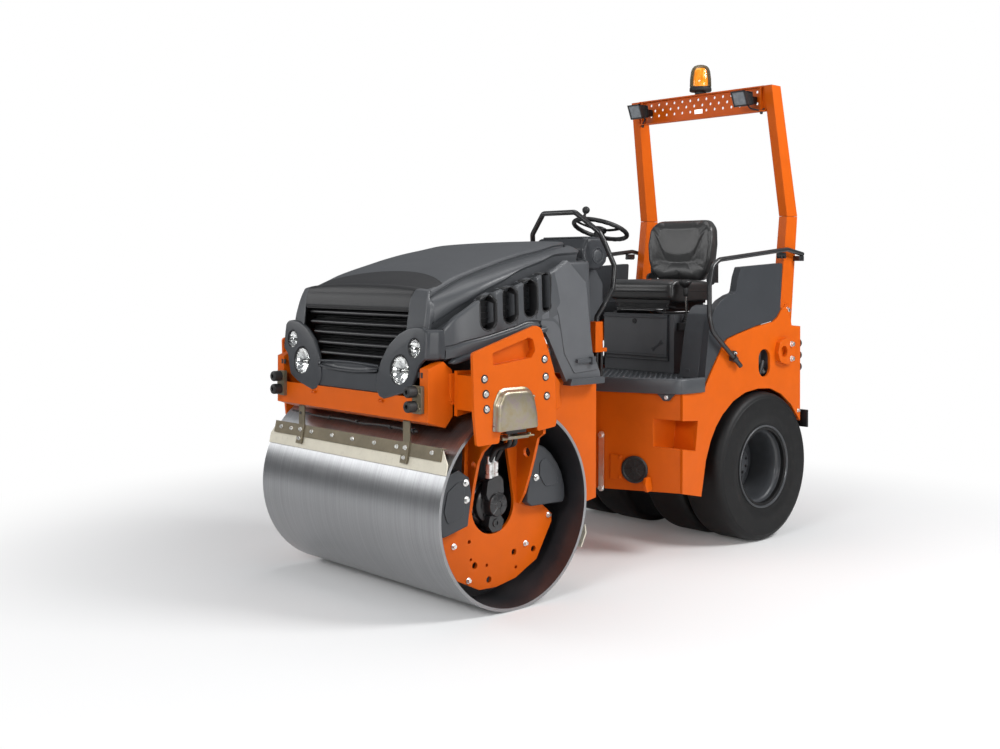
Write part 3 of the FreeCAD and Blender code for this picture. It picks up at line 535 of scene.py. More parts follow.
def loft_into(bm, sections, caps=True, closed=True):
    """sections: lists of P() points, all the same length."""
    rows = [[bm.verts.new(p) for p in s] for s in sections]
    n = len(rows[0])
    for a, b in zip(rows, rows[1:]):
        for k in range(n if closed else n - 1):
            bm.faces.new((a[k], a[(k + 1) % n], b[(k + 1) % n], b[k]))
    if caps and closed:
        bm.faces.new(rows[0])
        bm.faces.new(list(reversed(rows[-1])))
    return rows


def both_sides(fn, *a, **k):
    for s in (1, -1):
        fn(s, *a, **k)


# ---------------------------------------------------------------- curves along the hood
def catmull(xs, ys, x):
    """Monotone-ish smooth interpolation through sorted xs."""
    n = len(xs)
    if x <= xs[0]:
        return ys[0]
    if x >= xs[-1]:
        return ys[-1]
    i = 0
    while xs[i + 1] < x:
        i += 1

    def slope(k):
        if k == 0:
            return (ys[1] - ys[0]) / (xs[1] - xs[0])
        if k == n - 1:
            return (ys[-1] - ys[-2]) / (xs[-1] - xs[-2])
        d0 = (ys[k] - ys[k - 1]) / (xs[k] - xs[k - 1])
        d1 = (ys[k + 1] - ys[k]) / (xs[k + 1] - xs[k])
        if d0 * d1 <= 0:
            return 0.0
        return 2 * d0 * d1 / (d0 + d1)

    h = xs[i + 1] - xs[i]
    t = (x - xs[i]) / h
    m0, m1 = slope(i), slope(i + 1)
    return ((2 * t ** 3 - 3 * t ** 2 + 1) * ys[i] + (t ** 3 - 2 * t ** 2 + t) * h * m0
            + (-2 * t ** 3 + 3 * t ** 2) * ys[i + 1] + (t ** 3 - t ** 2) * h * m1)


# x, crown z, crease (y, z), ridge of the band (y, z), valley (y, z), foot (y, z), shelf edge (y, z), height of the lip
ST = [(332, 1432, 472, 1404, 508, 1350, 503, 1263, 588, 1122, 581, 1252, 52),
      (299, 1445, 466, 1418, 516, 1366, 512, 1284, 612, 1128, 607, 1296, 54),
      (263, 1459, 463, 1433, 523, 1383, 520, 1304, 628, 1138, 621, 1321, 57),
      (223, 1473, 461, 1450, 531, 1402, 532, 1331, 638, 1150, 631, 1347, 54),
      (164, 1494, 460, 1475, 540, 1427, 548, 1361, 648, 1168, 640, 1383, 46),
      (80, 1522, 458, 1502, 545, 1462, 562, 1405, 654, 1194, 646, 1418, 38),
      (-21, 1549, 456, 1531, 548, 1496, 568, 1446, 659, 1224, 649, 1440, 31),
      (-119, 1575, 453, 1559, 548, 1530, 576, 1494, 661, 1250, 651, 1468, 27),
      (-248, 1604, 449, 1590, 545, 1566, 580, 1534, 662, 1250, 652, 1509, 20),
      (-345, 1624, 446, 1608, 540, 1590, 585, 1568, 662, 1180, 650, 1548, 12),
      (-510, 1650, 420, 1640, 500, 1622, 560, 1580, 650, 1120, 632, 1550, 8),
      (-690, 1660, 292, 1651, 315, 1640, 325, 1600, 350, 1110, 340, 1580, 4),
      (-762, 1662, 150, 1655, 165, 1648, 180, 1600, 200, 1110, 190, 1580, 4)]
ST = sorted(ST)
SX = [s[0] for s in ST]
NTOP = 30


def st(x):
    return [catmull(SX, [s[k] for s in ST], x) for k in range(1, 13)]


def bez(a, c, b, n, first=1):
    a, b, c = Vector(a), Vector(b), Vector(c)
    return [tuple(a.lerp(c, k / n).lerp(c.lerp(b, k / n), k / n)) for k in range(first, n + 1)]


def half_section(x):
    """(y, z) points from the crown to the bottom edge."""
    zc, yc, zcr, yl, zl, yt, zt, yb, zb, sy, sz, hl = st(x)
    f = max(0.0, min(1.0, (x + 560.0) / 160.0))
    pts = []
    for k in range(10):
        u = k / 9.0 * 0.965
        pts.append((yc * u, zc - (zc - zcr) * u ** 2.6 * 0.80))
    a = pts[-1]
    # rounded edge of the crown, then the thin groove under it
    pts += bez(a, (yc + 3, zcr + 3), (yc + 9, zcr - 8), 4)
    pts += [(yc + 7, zcr - 12), (yc + 5 - 6 * f, zcr - 17), (yc + 7, zcr - 23)]
    a = (yc + 17, zcr - 27)
    pts.append(a)
    # the band: one swelling surface over its ridge to the rounded lower edge
    low = (yt + 5, zt + 17)
    c = (2 * yl - 0.5 * (a[0] + low[0]) + 4, zl + (zl - 0.5 * (a[1] + low[1])) * 0.6)
    pts += bez(a, c, low, 9)
    # rolled under into the valley
    dp = 26 * f + 4
    vb = min(zt, sz) - dp
    pts += [(yt + 2, zt + 11), (yt - 5, zt + 5)]
    while len(pts) < NTOP - 1:
        pts.append((yt - 5 - 6 * (len(pts) - 25), zt + 5 - 8 * (len(pts) - 25)))
    pts = pts[:NTOP - 1]
    pts.append((yt - 14, vb))
    # out of the valley over the shelf to its edge, and down the flank
    pts += [(yt + 6, vb - 3), (sy - 34, sz - 16 * f - 3), (sy - 20, sz - 5)]
    pts += bez((sy - 14, sz - 1), (sy, sz + 1), (sy + 1.5, sz - 14), 5, 0)
    n = 44
    for k in range(1, n + 1):
        u = k / n
        pts.append((sy + 1.5 + (yb - 2 - sy) * u, sz - 14 + (zb + hl + 5 - sz + 14) * u))
    g = max(0.0, min(1.0, (x + 205.0) / 70.0))
    o = 5 * g - 14 * (1 - g)
    pts += [(yb - 5, zb + hl + 2), (yb - 9, zb + hl - 2), (yb - 7 - 8 * (1 - g), zb + hl - 7), (yb + o - 3, zb + hl - 11), (yb + o, zb + hl - 15),
            (yb + o, zb + 8), (yb + o - 2, zb + 2), (yb + o - 7, zb), (yb + o - 19, zb)]
    return pts


def smooth01(u):
    u = max(0.0, min(1.0, u))
    return u * u * (3 - 2 * u)


def gill(x, z):
    """How far the flank swells behind each louvre, falling off to the next one."""
    h = 0.0
    for (x0, hw, z0, z1), nxt in zip(SLOTS, [s[0] + s[1] for s in SLOTS[1:]] + [-345]):
        a = x0 - hw
        if nxt <= x <= a + 3:
            u = max(0.0, (a - x) / float(a - nxt))
            f = smooth01((a + 3 - x) / 6.0) * (1 - u) ** 0.8
            dn = smooth01((z - (z0 - 34)) / 80.0)
            h = 15.0 * f * dn
    return h


def in_slot(x, z, slot, grow=0.0):
    x0, hw, z0, z1 = slot
    r = hw + grow
    if z < z0 + hw:
        return (x - x0) ** 2 + (z - z0 - hw) ** 2 < r * r
    return abs(x - x0) < r


def pocket(x, z, y):
    for sl in SLOTS:
        if in_slot(x, z, sl):
            return min(y, 594.0)
    return y


def flank_y(x, z):
    pts = half_section(x)[NTOP + 3:]
    if z >= pts[0][1]:
        return pts[0][0]
    for (y0, z0), (y1, z1) in zip(pts, pts[1:]):
        if z1 <= z <= z0:
            return y0 + (y1 - y0) * (z0 - z) / max(1e-6, z0 - z1)
    return pts[-1][0]


def hood_material():
    """Dark moulded plastic; over the nose a matte panel bounded by an arch."""
    m, nt, b = new_mat("hood_plastic")
    c = add(nt, "ShaderNodeTexCoord")
    s = add(nt, "ShaderNodeSeparateXYZ")
    link(nt, c.outputs["Object"], s.inputs[0])

    def math_node(op, a, v):
        n = add(nt, "ShaderNodeMath", operation=op)
        if hasattr(a, "links") or hasattr(a, "is_linked"):
            link(nt, a, n.inputs[0])
        else:
            n.inputs[0].default_value = a
        if hasattr(v, "links") or hasattr(v, "is_linked"):
            link(nt, v, n.inputs[1])
        else:
            n.inputs[1].default_value = v
        return n.outputs[0]

    ay = math_node("ABSOLUTE", s.outputs["Y"], 0.0)
    y2 = math_node("MULTIPLY", ay, ay)
    arch = math_node("ADD", math_node("MULTIPLY", y2, 0.48), (OX + 142.0) / 1000.0)
    front = math_node("SUBTRACT", s.outputs["X"], arch)
    # side limit of the panel: narrower in front of the nose's corner
    lim = math_node("SUBTRACT", 0.455, math_node("MULTIPLY", math_node("MAXIMUM", math_node("SUBTRACT", s.outputs["X"], (OX + 270) / 1000.0), 0.0), 0.46))
    side = math_node("SUBTRACT", lim, ay)
    low = math_node("SUBTRACT", s.outputs["Z"], 1.26)
    inside = math_node("MINIMUM", math_node("MINIMUM", front, side), low)
    msk = add(nt, "ShaderNodeMapRange")
    msk.inputs["From Min"].default_value = -0.0006
    msk.inputs["From Max"].default_value = 0.0006
    link(nt, inside, msk.inputs["Value"])
    line = math_node("ABSOLUTE", inside, 0.0)
    ln = add(nt, "ShaderNodeMapRange")
    ln.inputs["From Min"].default_value = 0.0012
    ln.inputs["From Max"].default_value = 0.0030
    link(nt, line, ln.inputs["Value"])
    v = coords(nt)
    n1 = noise_tex(nt, v, 7.0, 4.0, 0.6)
    cg = ramp(nt, n1.outputs["Fac"], [(0.25, (0.058, 0.061, 0.066, 1)), (0.75, (0.067, 0.071, 0.077, 1))])
    cb = ramp(nt, n1.outputs["Fac"], [(0.25, (0.011, 0.011, 0.012, 1)), (0.75, (0.016, 0.016, 0.017, 1))])
    mx = add(nt, "ShaderNodeMix", data_type="RGBA")
    link(nt, msk.outputs["Result"], mx.inputs[0])
    link(nt, cg, mx.inputs[6])
    link(nt, cb, mx.inputs[7])
    mx2 = add(nt, "ShaderNodeMix", data_type="RGBA")
    link(nt, ln.outputs["Result"], mx2.inputs[0])
    mx2.inputs[6].default_value = (0.004, 0.004, 0.004, 1)
    link(nt, mx.outputs[2], mx2.inputs[7])
    link(nt, mx2.outputs[2], b.inputs["Base Color"])
    rr = add(nt, "ShaderNodeMapRange")
    rr.inputs["To Min"].default_value = 0.40
    rr.inputs["To Max"].default_value = 0.50
    link(nt, msk.outputs["Result"], rr.inputs["Value"])
    link(nt, rr.outputs["Result"], b.inputs["Roughness"])
    g = noise_tex(nt, v, 1500.0, 2.0, 0.5)
    hh = add(nt, "ShaderNodeMath", operation="MULTIPLY")
    link(nt, g.outputs["Fac"], hh.inputs[0])
    hh.inputs[1].default_value = 0.12
    h2 = add(nt, "ShaderNodeMath", operation="ADD")
    link(nt, hh.outputs[0], h2.inputs[0])
    link(nt, ln.outputs["Result"], h2.inputs[1])
    bump(nt, b, h2.outputs[0], 0.8, 0.0012)
    return m


M["hood"] = hood_material()


def grid_mesh(bm, rows):
    vr = [[bm.verts.new(p) for p in r] for r in rows]
    for a, b in zip(vr, vr[1:]):
        for k in range(len(a) - 1):
            bm.faces.new((a[k], a[k + 1], b[k + 1], b[k]))
    return vr


def stadium(x0, z0, z1, hw, d, n=8):
    """Upright slot outline in x, z with rounded ends, grown by d."""
    r = hw + d
    pts = []
    for k in range(n + 1):
        a = math.pi * k / n
        pts.append((x0 + r * math.cos(a), z1 - hw + r * math.sin(a)))
    for k in range(n + 1):
        a = math.pi + math.pi * k / n
        pts.append((x0 + r * math.cos(a), z0 + hw + r * math.sin(a)))
    return pts


# centre x, half width, bottom, top
SLOTS = ((139, 37, 1244, 1404), (15, 37, 1272, 1446), (-108, 36, 1296, 1478), (-207, 21, 1321, 1508))


def solidify(ob, t_mm, offset=-1.0):
    md = ob.modifiers.new("thick", "SOLIDIFY")
    md.thickness = t_mm / 1000.0
    md.offset = offset
    return md


def apply_mods(ob):
    dg = bpy.context.evaluated_depsgraph_get()
    me = bpy.data.meshes.new_from_object(ob.evaluated_get(dg))
    ob.modifiers.clear()
    old = ob.data
    ob.data = me
    bpy.data.meshes.remove(old)


def build_hood():
    x = -762.0
    xs = []
    while x < 331:
        xs.append(x)
        x += 4.0 if -350 < x < 190 else 14.0
    xs.append(332.0)
    bm = bmesh.new()
    rows = []
    for x in xs:
        hs = half_section(x)
        hs = [(pocket(x, z, y + gill(x, z)) if NTOP + 2 < k < len(hs) - 9 else y, z) for k, (y, z) in enumerate(hs)]
        full = [(-y, z) for y, z in reversed(hs[1:])] + hs
        rows.append([P(x, y, z) for y, z in full])
    grid_mesh(bm, rows)
    me = mesh_out(bm, P(-150, 0, 1150))
    skin = bpy.data.objects.new("hood_skin", me)
    bpy.context.scene.collection.objects.link(skin)
    solidify(skin, 6.0, -1.0)
    me = skin.data
    me.materials.clear()
    me.materials.append(M["hood"])
    me.shade_smooth()
    me.set_sharp_from_angle(angle=math.radians(28))
    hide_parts("hood")
    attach(skin, "hood")

    # louvre pockets: wall, floor and a fine rounded rim along the flank, coloured black as painted shade in the recess
    bm = bmesh.new()
    for x0, hw, z0, z1 in SLOTS:
        for s in (1, -1):
            rws = []
            for d, h in ((6.5, -2.0), (6.0, 0.7), (3.0, 1.8), (0.8, 1.3), (-0.4, -1.0), (-0.8, -8), (-0.8, -40)):
                ring = []
                for px, pz in stadium(x0, z0, min(z1, st(x0)[10] + 2), hw, d):
                    if d > 0:
                        pz = min(pz, st(px)[10] - 2 + h)
                    y = flank_y(px, pz) + (gill(px, pz) if px < x0 else 0.0) + h
                    if h <= -40:
                        y = 598.0
                    ring.append(P(px, s * y, pz))
                rws.append(ring)
            vr = [[bm.verts.new(p) for p in r] for r in rws]
            n = len(vr[0])
            for a, b in zip(vr, vr[1:]):
                for k in range(n):
                    bm.faces.new((a[k], a[(k + 1) % n], b[(k + 1) % n], b[k]))
            bm.faces.new(vr[-1])
    finish_mesh("louvre_pockets_painted_shade", mesh_from(bm), "black", "hood", smooth=50)
    # dark vanes deep in the pockets
    bm = bmesh.new()
    for x0, hw, z0, z1 in SLOTS:
        for s in (1, -1):
            for k in range(5):
                zz = z0 + 24 + (z1 - z0 - 60) * k / 4.0
                box_into(bm, x0 - hw + 1, x0 + hw - 1, s * 601, s * 612, zz - 2, zz + 2)
    finish_mesh("louvre_vanes", mesh_from(bm), "black", "hood", smooth=None)

    # ---- nose: sections at a height, front to flank
    NO = [(956, 423, 250, 416, 262, 400, 270), (1046, 416, 250, 409, 262, 396, 270), (1160, 408, 402, 396, 490, 378, 512),
          (1272, 396, 405, 380, 505, 362, 520), (1335, 387, 408, 366, 500, 352, 508), (1385, 377, 409, 353, 490, 339, 493),
          (1404, 367, 408, 346, 484, 333, 487)]
    NZ = [r[0] for r in NO]

    def nose_pts(z, inner=0.0):
        v = [catmull(NZ, [r[k] for r in NO], z) for k in range(1, 7)]
        xf, yf, xm, ym, xs_, ys_ = v
        if z < 1125:
            return [(xf, inner), (xf, yf), (xm, ym), (xs_, ys_), (xs_ - 20, ys_ + 1), (xs_ - 40, ys_ + 1)]
        hs = half_section(330)[10:NTOP]
        yh = ys_
        for (a0, b0), (a1, b1) in zip(hs, hs[1:]):
            if b1 <= z <= b0:
                yh = a0 + (a1 - a0) * (b0 - z) / max(1e-6, b0 - b1)
                break
        return [(xf, inner), (xf, yf), (xm, ym), (xs_, ys_), (334, yh + 0.6), (318, yh - 3)]

    def nose_row(z, inner=0.0, s=1):
        poly = nose_pts(z, inner)
        q = rounded_open(poly, [0, 16, 7, 5, 6, 0], 5)
        first = []
        nfill = 7
        for k in range(nfill):
            first.append((q[0][0] + (q[1][0] - q[0][0]) * k / nfill, q[0][1] + (q[1][1] - q[0][1]) * k / nfill))
        pts = first + q[1:]
        return [P(px, s * py, z) for px, py in pts]

    def strips(name, rws, parts, mat, t):
        bm = bmesh.new()
        for a, b in parts:
            grid_mesh(bm, [r[a:b] for r in rws])
        ob = finish_mesh(name, mesh_out(bm, P(100, 0, 1180)), mat, "hood", smooth=60)
        solidify(ob, t, -1.0)
        return ob

    def full_row(z):
        a = nose_row(z, 0, 1)
        b = nose_row(z, 0, -1)
        return list(reversed(b[1:])) + a

    rws = [full_row(z) for z in (1190, 1210, 1230, 1250, 1270, 1290, 1310, 1330, 1345, 1360, 1375, 1388, 1398, 1404)]
    n_all = len(rws[0])
    mid = n_all // 2
    last = rws[-1]
    crown_x = 312.0

    def crown_z(x, y):
        hs = half_section(x)
        y = abs(y)
        for (a0, b0), (a1, b1) in zip(hs, hs[1:]):
            if a0 <= y <= a1:
                return b0 + (b1 - b0) * (y - a0) / max(1e-6, a1 - a0)
        return hs[12][1]

    targets = []
    for p in last:
        y = p.y * 1000.0
        yy = max(-470.0, min(470.0, y * 0.955))
        zt = crown_z(crown_x, yy)
        targets.append((Vector(p), P(crown_x, yy, zt + 0.6)))
    for u in (0.10, 0.22, 0.36, 0.52, 0.70, 0.86, 1.0):
        r = []
        for p, t in targets:
            span = t.x - p.x
            c = Vector((p.x - 0.006, p.y, max(p.z + 0.010, t.z + (p.x - t.x) * 0.20)))
            q = p.lerp(c, u).lerp(c.lerp(t, u), u)
            r.append(q)
        rws.append(r)
    strips("nose_pillars", rws, ((0, mid - 8), (mid + 9, n_all)), "hood", 9.0)
    strips("nose_top", rws[7:], ((mid - 9, mid + 10),), "hood", 9.0)
    strips("nose_fascia", [full_row(z) for z in range(958, 1047, 8)], ((0, n_all),), "greyhi", 8.0)


def rounded_open(pts, rads, seg=5):
    out = [tuple(pts[0])]
    for i in range(1, len(pts) - 1):
        p, a, b = Vector(pts[i]), Vector(pts[i - 1]), Vector(pts[i + 1])
        di, do = p - a, b - p
        la, lb = di.length, do.length
        di.normalize()
        do.normalize()
        ang = di.angle(do, 0.0)
        t = min(max(0.4, rads[i] * math.tan(ang / 2)), 0.48 * la, 0.48 * lb)
        s, e = p - di * t, p + do * t
        for k in range(seg + 1):
            u = k / seg
            out.append(tuple(s.lerp(p, u).lerp(p.lerp(e, u), u)))
    out.append(tuple(pts[-1]))
    return out


def build_pods():
    POD = [(281, 934), (246, 944), (216, 986), (221, 1037), (244, 1102), (289, 1172), (359, 1226), (430, 1254),
           (490, 1261), (530, 1256), (549, 1238), (552, 1197), (552, 1124), (511, 1090), (500, 1054), (477, 998),
           (415, 968), (340, 948)]
    RAD = [20, 26, 60, 90, 120, 120, 120, 120, 60, 22, 18, 40, 20, 30, 60, 34, 60, 80]
    out = rounded(POD, RAD, 6)
    lamps = ((385, 1066, 66), (478, 1166, 42))

    def px(z, d=0.0):
        return 434 - 0.083 * (z - 936) - d

    bm = bmesh.new()
    # the plate: outline rows from the back, over a rounded edge, then the face
    cy = sum(p[0] for p in out) / len(out)
    cz = sum(p[1] for p in out) / len(out)
    for s in (1, -1):
        n = len(out)
        rows = []
        for inset, depth in ((0, 16), (0, 9), (0.8, 5), (2.6, 2.2), (5.5, 0.5), (9, 0.0)):
            row = []
            for i, (y, z) in enumerate(out):
                a = Vector(out[i - 1])
                b = Vector(out[(i + 1) % n])
                t = (b - a).normalized()
                nrm = Vector((t.y, -t.x))
                if nrm.dot(Vector((cy, cz)) - Vector((y, z))) < 0 and False:
                    nrm = -nrm
                q = Vector((y, z)) + nrm * (-inset * ORIENT)
                row.append(P(px(q.y, depth), s * q.x, q.y))
            rows.append([bm.verts.new(p) for p in row])
        for a, b in zip(rows, rows[1:]):
            for k in range(n):
                bm.faces.new((a[k], a[(k + 1) % n], b[(k + 1) % n], b[k]))
        bm.faces.new(rows[-1])
        bm.faces.new(rows[0])
    me = mesh_from(bm)
    face = bpy.data.objects.new("pods", me)
    bpy.context.scene.collection.objects.link(face)
    bmc = bmesh.new()
    for y, z, r in lamps:
        for s in (1, -1):
            cyl_into(bmc, P(px(z, 40), s * y, z), (1, 0, 0.083), r + 1.5, 80, 56)
    cme = mesh_from(bmc)
    cut = bpy.data.objects.new("cut", cme)
    bpy.context.scene.collection.objects.link(cut)
    bo = face.modifiers.new("b", "BOOLEAN")
    bo.object = cut
    bo.operation = "DIFFERENCE"
    bo.solver = "EXACT"
    apply_mods(face)
    bpy.data.objects.remove(cut)
    me = face.data
    me.materials.clear()
    me.materials.append(M["greyhi"])
    me.shade_smooth()
    me.set_sharp_from_angle(angle=math.radians(35))
    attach(face, "hood")
    # side return of the pods, running back to the flank
    bm = bmesh.new()
    for s in (1, -1):
        rows = []
        for z in (1118, 1121, 1124, 1150, 1180, 1210, 1236, 1243, 1247):
            d = {1118: 5, 1121: 2, 1247: 7, 1243: 2}.get(z, 0)
            pl = [(px(z, 5), 551 - d - 3), (px(z, 12), 552 - d), (392, 558 - d), (355, 571.5 - d), (333, min(flank_y(330, z), 588) + 0.6 - d), (316, min(flank_y(330, z), 588) - 4 - d)]
            rows.append([P(x, s * y, z) for x, y in rounded_open(pl, [0, 10, 44, 30, 0.5, 0], 4)])
        for dy, dz in ((12, 2), (45, 3), (70, 2)):
            rows.append([Vector((p.x, p.y - s * dy / 1000.0, p.z + dz / 1000.0)) for p in rows[8]])
        grid_mesh(bm, rows)
    ob = finish_mesh("pod_sides", mesh_out(bm, P(200, 0, 1180)), "greyhi", "hood", smooth=50)
    # lamps
    ax = Vector((1, 0, 0.083)).normalized()
    bm_b, bm_r, bm_g, bm_c = bmesh.new(), bmesh.new(), bmesh.new(), bmesh.new()
    for y, z, r in lamps:
        for s in (1, -1):
            o = P(px(z, 0), s * y, z)
            ring_into(bm_b, o, ax, [(r + 1.3, -34), (r + 1.3, -2.0), (r - 0.8, -1.2), (r - 3.5, -3.0), (r - 4.5, -8), (r - 4.5, -34)], 48)
            # bowl with flutes
            n = 40
            mt = axis_matrix(o, ax)
            rws = []
            for fr, h in ((0.93, -7), (0.88, -14), (0.74, -22), (0.52, -29), (0.28, -33), (0.14, -34)):
                rw = []
                for k in range(n):
                    a = 2 * math.pi * k / n
                    wob = 1.0 + 0.035 * (1 if k % 4 < 2 else -1) * (1 if fr > 0.3 else 0)
                    rw.append(bm_r.verts.new(mt @ Vector((r * fr * wob * math.cos(a) / 1000, r * fr * wob * math.sin(a) / 1000, h / 1000.0))))
                rws.append(rw)
            for a_, b_ in zip(rws, rws[1:]):
                for k in range(n):
                    bm_r.faces.new((a_[k], a_[(k + 1) % n], b_[(k + 1) % n], b_[k]))
            bm_r.faces.new(rws[-1])
            lathe_into(bm_c, o, ax, [(0, -8), (r * 0.10, -8), (r * 0.15, -11), (r * 0.15, -33), (0, -33.5)], 20)
            lathe_into(bm_g, o, ax, [(0, 2.6), (r * 0.3, 2.2), (r * 0.6, 1.0), (r * 0.8, -0.4), (r * 0.93, -2.4), (r * 0.93, -4.4),
                                     (r * 0.8, -2.6), (r * 0.6, -1.2), (r * 0.3, 0.0), (0, 0.4)], 48)
    finish_mesh("lamp_bezels", mesh_from(bm_b), "black", "hood", smooth=40)
    finish_mesh("lamp_bowls", mesh_from(bm_r), "reflector", "hood", smooth=None)
    finish_mesh("lamp_bulbs", mesh_from(bm_c), "chrome", "hood", smooth=40)
    gl = finish_mesh("lamp_lenses", mesh_from(bm_g), "glass", "hood", smooth=60)
    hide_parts("headlamps")


ORIENT = 1.0


def poly_area(p):
    return 0.5 * sum(p[i][0] * p[(i + 1) % len(p)][1] - p[(i + 1) % len(p)][0] * p[i][1] for i in range(len(p)))


# outward growth follows the winding of the pod outline
_t = [(281, 934), (216, 986), (289, 1172), (490, 1261), (552, 1124), (415, 968)]
ORIENT = 1.0 if poly_area(_t) > 0 else -1.0


def build_grille():
    bm = bmesh.new()
    for zc, hw in ((1304, 396), (1257, 376), (1210, 330), (1162, 290), (1114, 262)):
        xc = 428 - (zc - 1040) * 0.147
        rows = []
        m = 18
        for k in range(m + 1):
            y = -hw + 2 * hw * k / m
            bow = 14.0 * (y / 400.0) ** 2
            prof = [(-58, 17), (-20, 13), (-7, 9), (-1.5, 4.5), (0, 0), (-2, -4.5), (-8, -7.5), (-22, -7.5), (-58, 2)]
            rows.append([P(xc - bow + px_ - 6, y, zc + pz_) for px_, pz_ in prof])
        loft_into(bm, rows)
    ob = finish_mesh("grille_slats", mesh_from(bm), "black_gloss", "hood", smooth=50)
    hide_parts("grille")
    # fine ribs just behind, in the gaps
    bm = bmesh.new()
    for zc in (1281, 1234, 1186, 1138):
        for dz in (-9, 4):
            xc = 428 - (zc - 1040) * 0.147 - 40
            hw = 392 - (1330 - zc) * 0.55
            rows = []
            for k in range(13):
                y = -hw + 2 * hw * k / 12
                bow = 14.0 * (y / 400.0) ** 2
                rows.append([P(xc - bow + a, y, zc + dz + b) for a, b in ((-6, 3), (3, 2), (5, 0), (3, -2), (-6, -3))])
            loft_into(bm, rows)
    finish_mesh("grille_ribs", mesh_from(bm), "black", "hood", smooth=40)
    bm = bmesh.new()
    rows = []
    for z in (1040, 1120, 1200, 1280, 1332):
        rows.append([P(428 - (z - 1040) * 0.147 - 66, y, z) for y in range(-400, 401, 80)])
    grid_mesh(bm, rows)
    ob = finish_mesh("grille_back", mesh_out(bm, P(100, 0, 1180)), "black", "hood", smooth=40)
    solidify(ob, 6)
    # surround sill above the opening
    bm = bmesh.new()
    box_into(bm, 345, 384, -402, 402, 1322, 1334)
    ob = finish_mesh("grille_head", mesh_from(bm), "black", "hood", smooth=None, bevel=2)
    # the shallow crescent below the slats
    bm = bmesh.new()
    rows = []
    for k in range(25):
        y = -232 + 464 * k / 24.0
        u = abs(y) / 232.0
        up = 1076 + 6 * (1 - u * u)
        dn = 1044 + 14 * u * u
        pr = [(418, up + 7), (425, up + 4), (427, up), (420, up - 5), (413, (up + dn) / 2), (420, dn + 4), (431.5, dn), (431.5, dn - 6)]
        rows.append([P(a, y, b) for a, b in pr])
    grid_mesh(bm, rows)
    ob = finish_mesh("grille_apron", mesh_out(bm, P(100, 0, 1180)), "greyhi", "hood", smooth=60)
    solidify(ob, 3.0, -1.0)


M["black_gloss"] = surface("black_slat", (0.012, 0.012, 0.013), 0.30, var=0.1, bscale=700, bstr=0.05, edge=0.0)


AXLE_X, TYRE_R = -1960.0, 416.5


def build_wheels():
    out = [(204, 398), (234, 395.5), (252, 386), (270, 381), (300, 378), (360, 378), (386, 380.5), (401, 387), (409, 396), (414, 407), (416.5, 424),
           (416.5, 594), (414, 611), (409, 622), (401, 631), (390, 636.4), (384, 637.4), (381.5, 639.6), (377, 640), (360, 640),
           (300, 640), (262, 638.5), (251, 634), (240, 629.5), (232, 630), (204, 626)]
    inn = [(204, 112)] + [(r, 732 - y) for r, y in reversed(out[1:-1])] + [(204, 340)]
    for s, side in ((1, "left"), (-1, "right")):
        o = P(AXLE_X, 0, TYRE_R)
        bm = bmesh.new()
        ring_into(bm, o, (0, s, 0), out, 112)
        ring_into(bm, o, (0, s, 0), inn, 96)
        ob = finish_mesh(side + "_tyre_rubber", mesh_from(bm), "tyre", side + "_wheels", smooth=32)
        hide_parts(side + "_tyres")
        bm = bmesh.new()
        # outer rim: stepped lip, deep barrel
        ring_into(bm, o, (0, s, 0), [(204, 396), (228, 392), (231, 386), (228, 383), (192, 388), (190, 400), (189, 540), (191, 572), (195, 579), (200, 583),
                                     (203.5, 590), (204, 604), (207, 610), (213, 614), (217, 620), (219, 628), (222, 634), (227, 636.4), (231, 634),
                                     (231.5, 629), (229, 626), (214, 624), (209, 618), (208, 606), (206, 592), (204, 586), (204, 420)], 96)
        ring_into(bm, o, (0, s, 0), [(204, 110), (228, 106), (231, 101), (227, 97), (192, 101), (190, 112), (190, 334), (193, 345), (227, 350),
                                     (231, 346), (228, 341), (204, 337)], 72)
        # disc, pressed rings and hub motor housing
        lathe_into(bm, o, (0, s, 0), [(0, 472), (30, 472), (34, 469), (72, 469), (80, 466), (86, 459), (88, 450), (88, 424), (96, 417), (118, 415),
                                      (124, 411), (140, 409), (148, 412), (176, 412), (184, 408), (191, 400), (191, 388), (0, 388)], 80)
        lathe_into(bm, o, (0, s, 0), [(0, 332), (190.5, 332), (190.5, 318), (121, 317), (118, 312), (0, 312)], 64)
        ob = finish_mesh(side + "_rim_steel", mesh_from(bm), "rim", side + "_wheels", smooth=30)
        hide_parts(side + "_rims")
        bm = bmesh.new()
        for k in range(10):
            a = 2 * math.pi * k / 10
            hexbolt_into(bm, P(AXLE_X + 104 * math.cos(a), s * 414, TYRE_R + 104 * math.sin(a)), (0, s, 0), 22, 13, 15, 2.5)
        for k in range(8):
            a = 2 * math.pi * (k + 0.5) / 8
            hexbolt_into(bm, P(AXLE_X + 58 * math.cos(a), s * 468.5, TYRE_R + 58 * math.sin(a)), (0, s, 0), 13, 7, 9, 1.5)
        # valve
        tube_into(bm, [(AXLE_X + 176, s * 412, TYRE_R + 40), (AXLE_X + 176, s * 450, TYRE_R + 40)], 5, 1, 10)
        finish_mesh(side + "_wheel_bolts", mesh_from(bm), "bsteel", side + "_wheels", smooth=30)


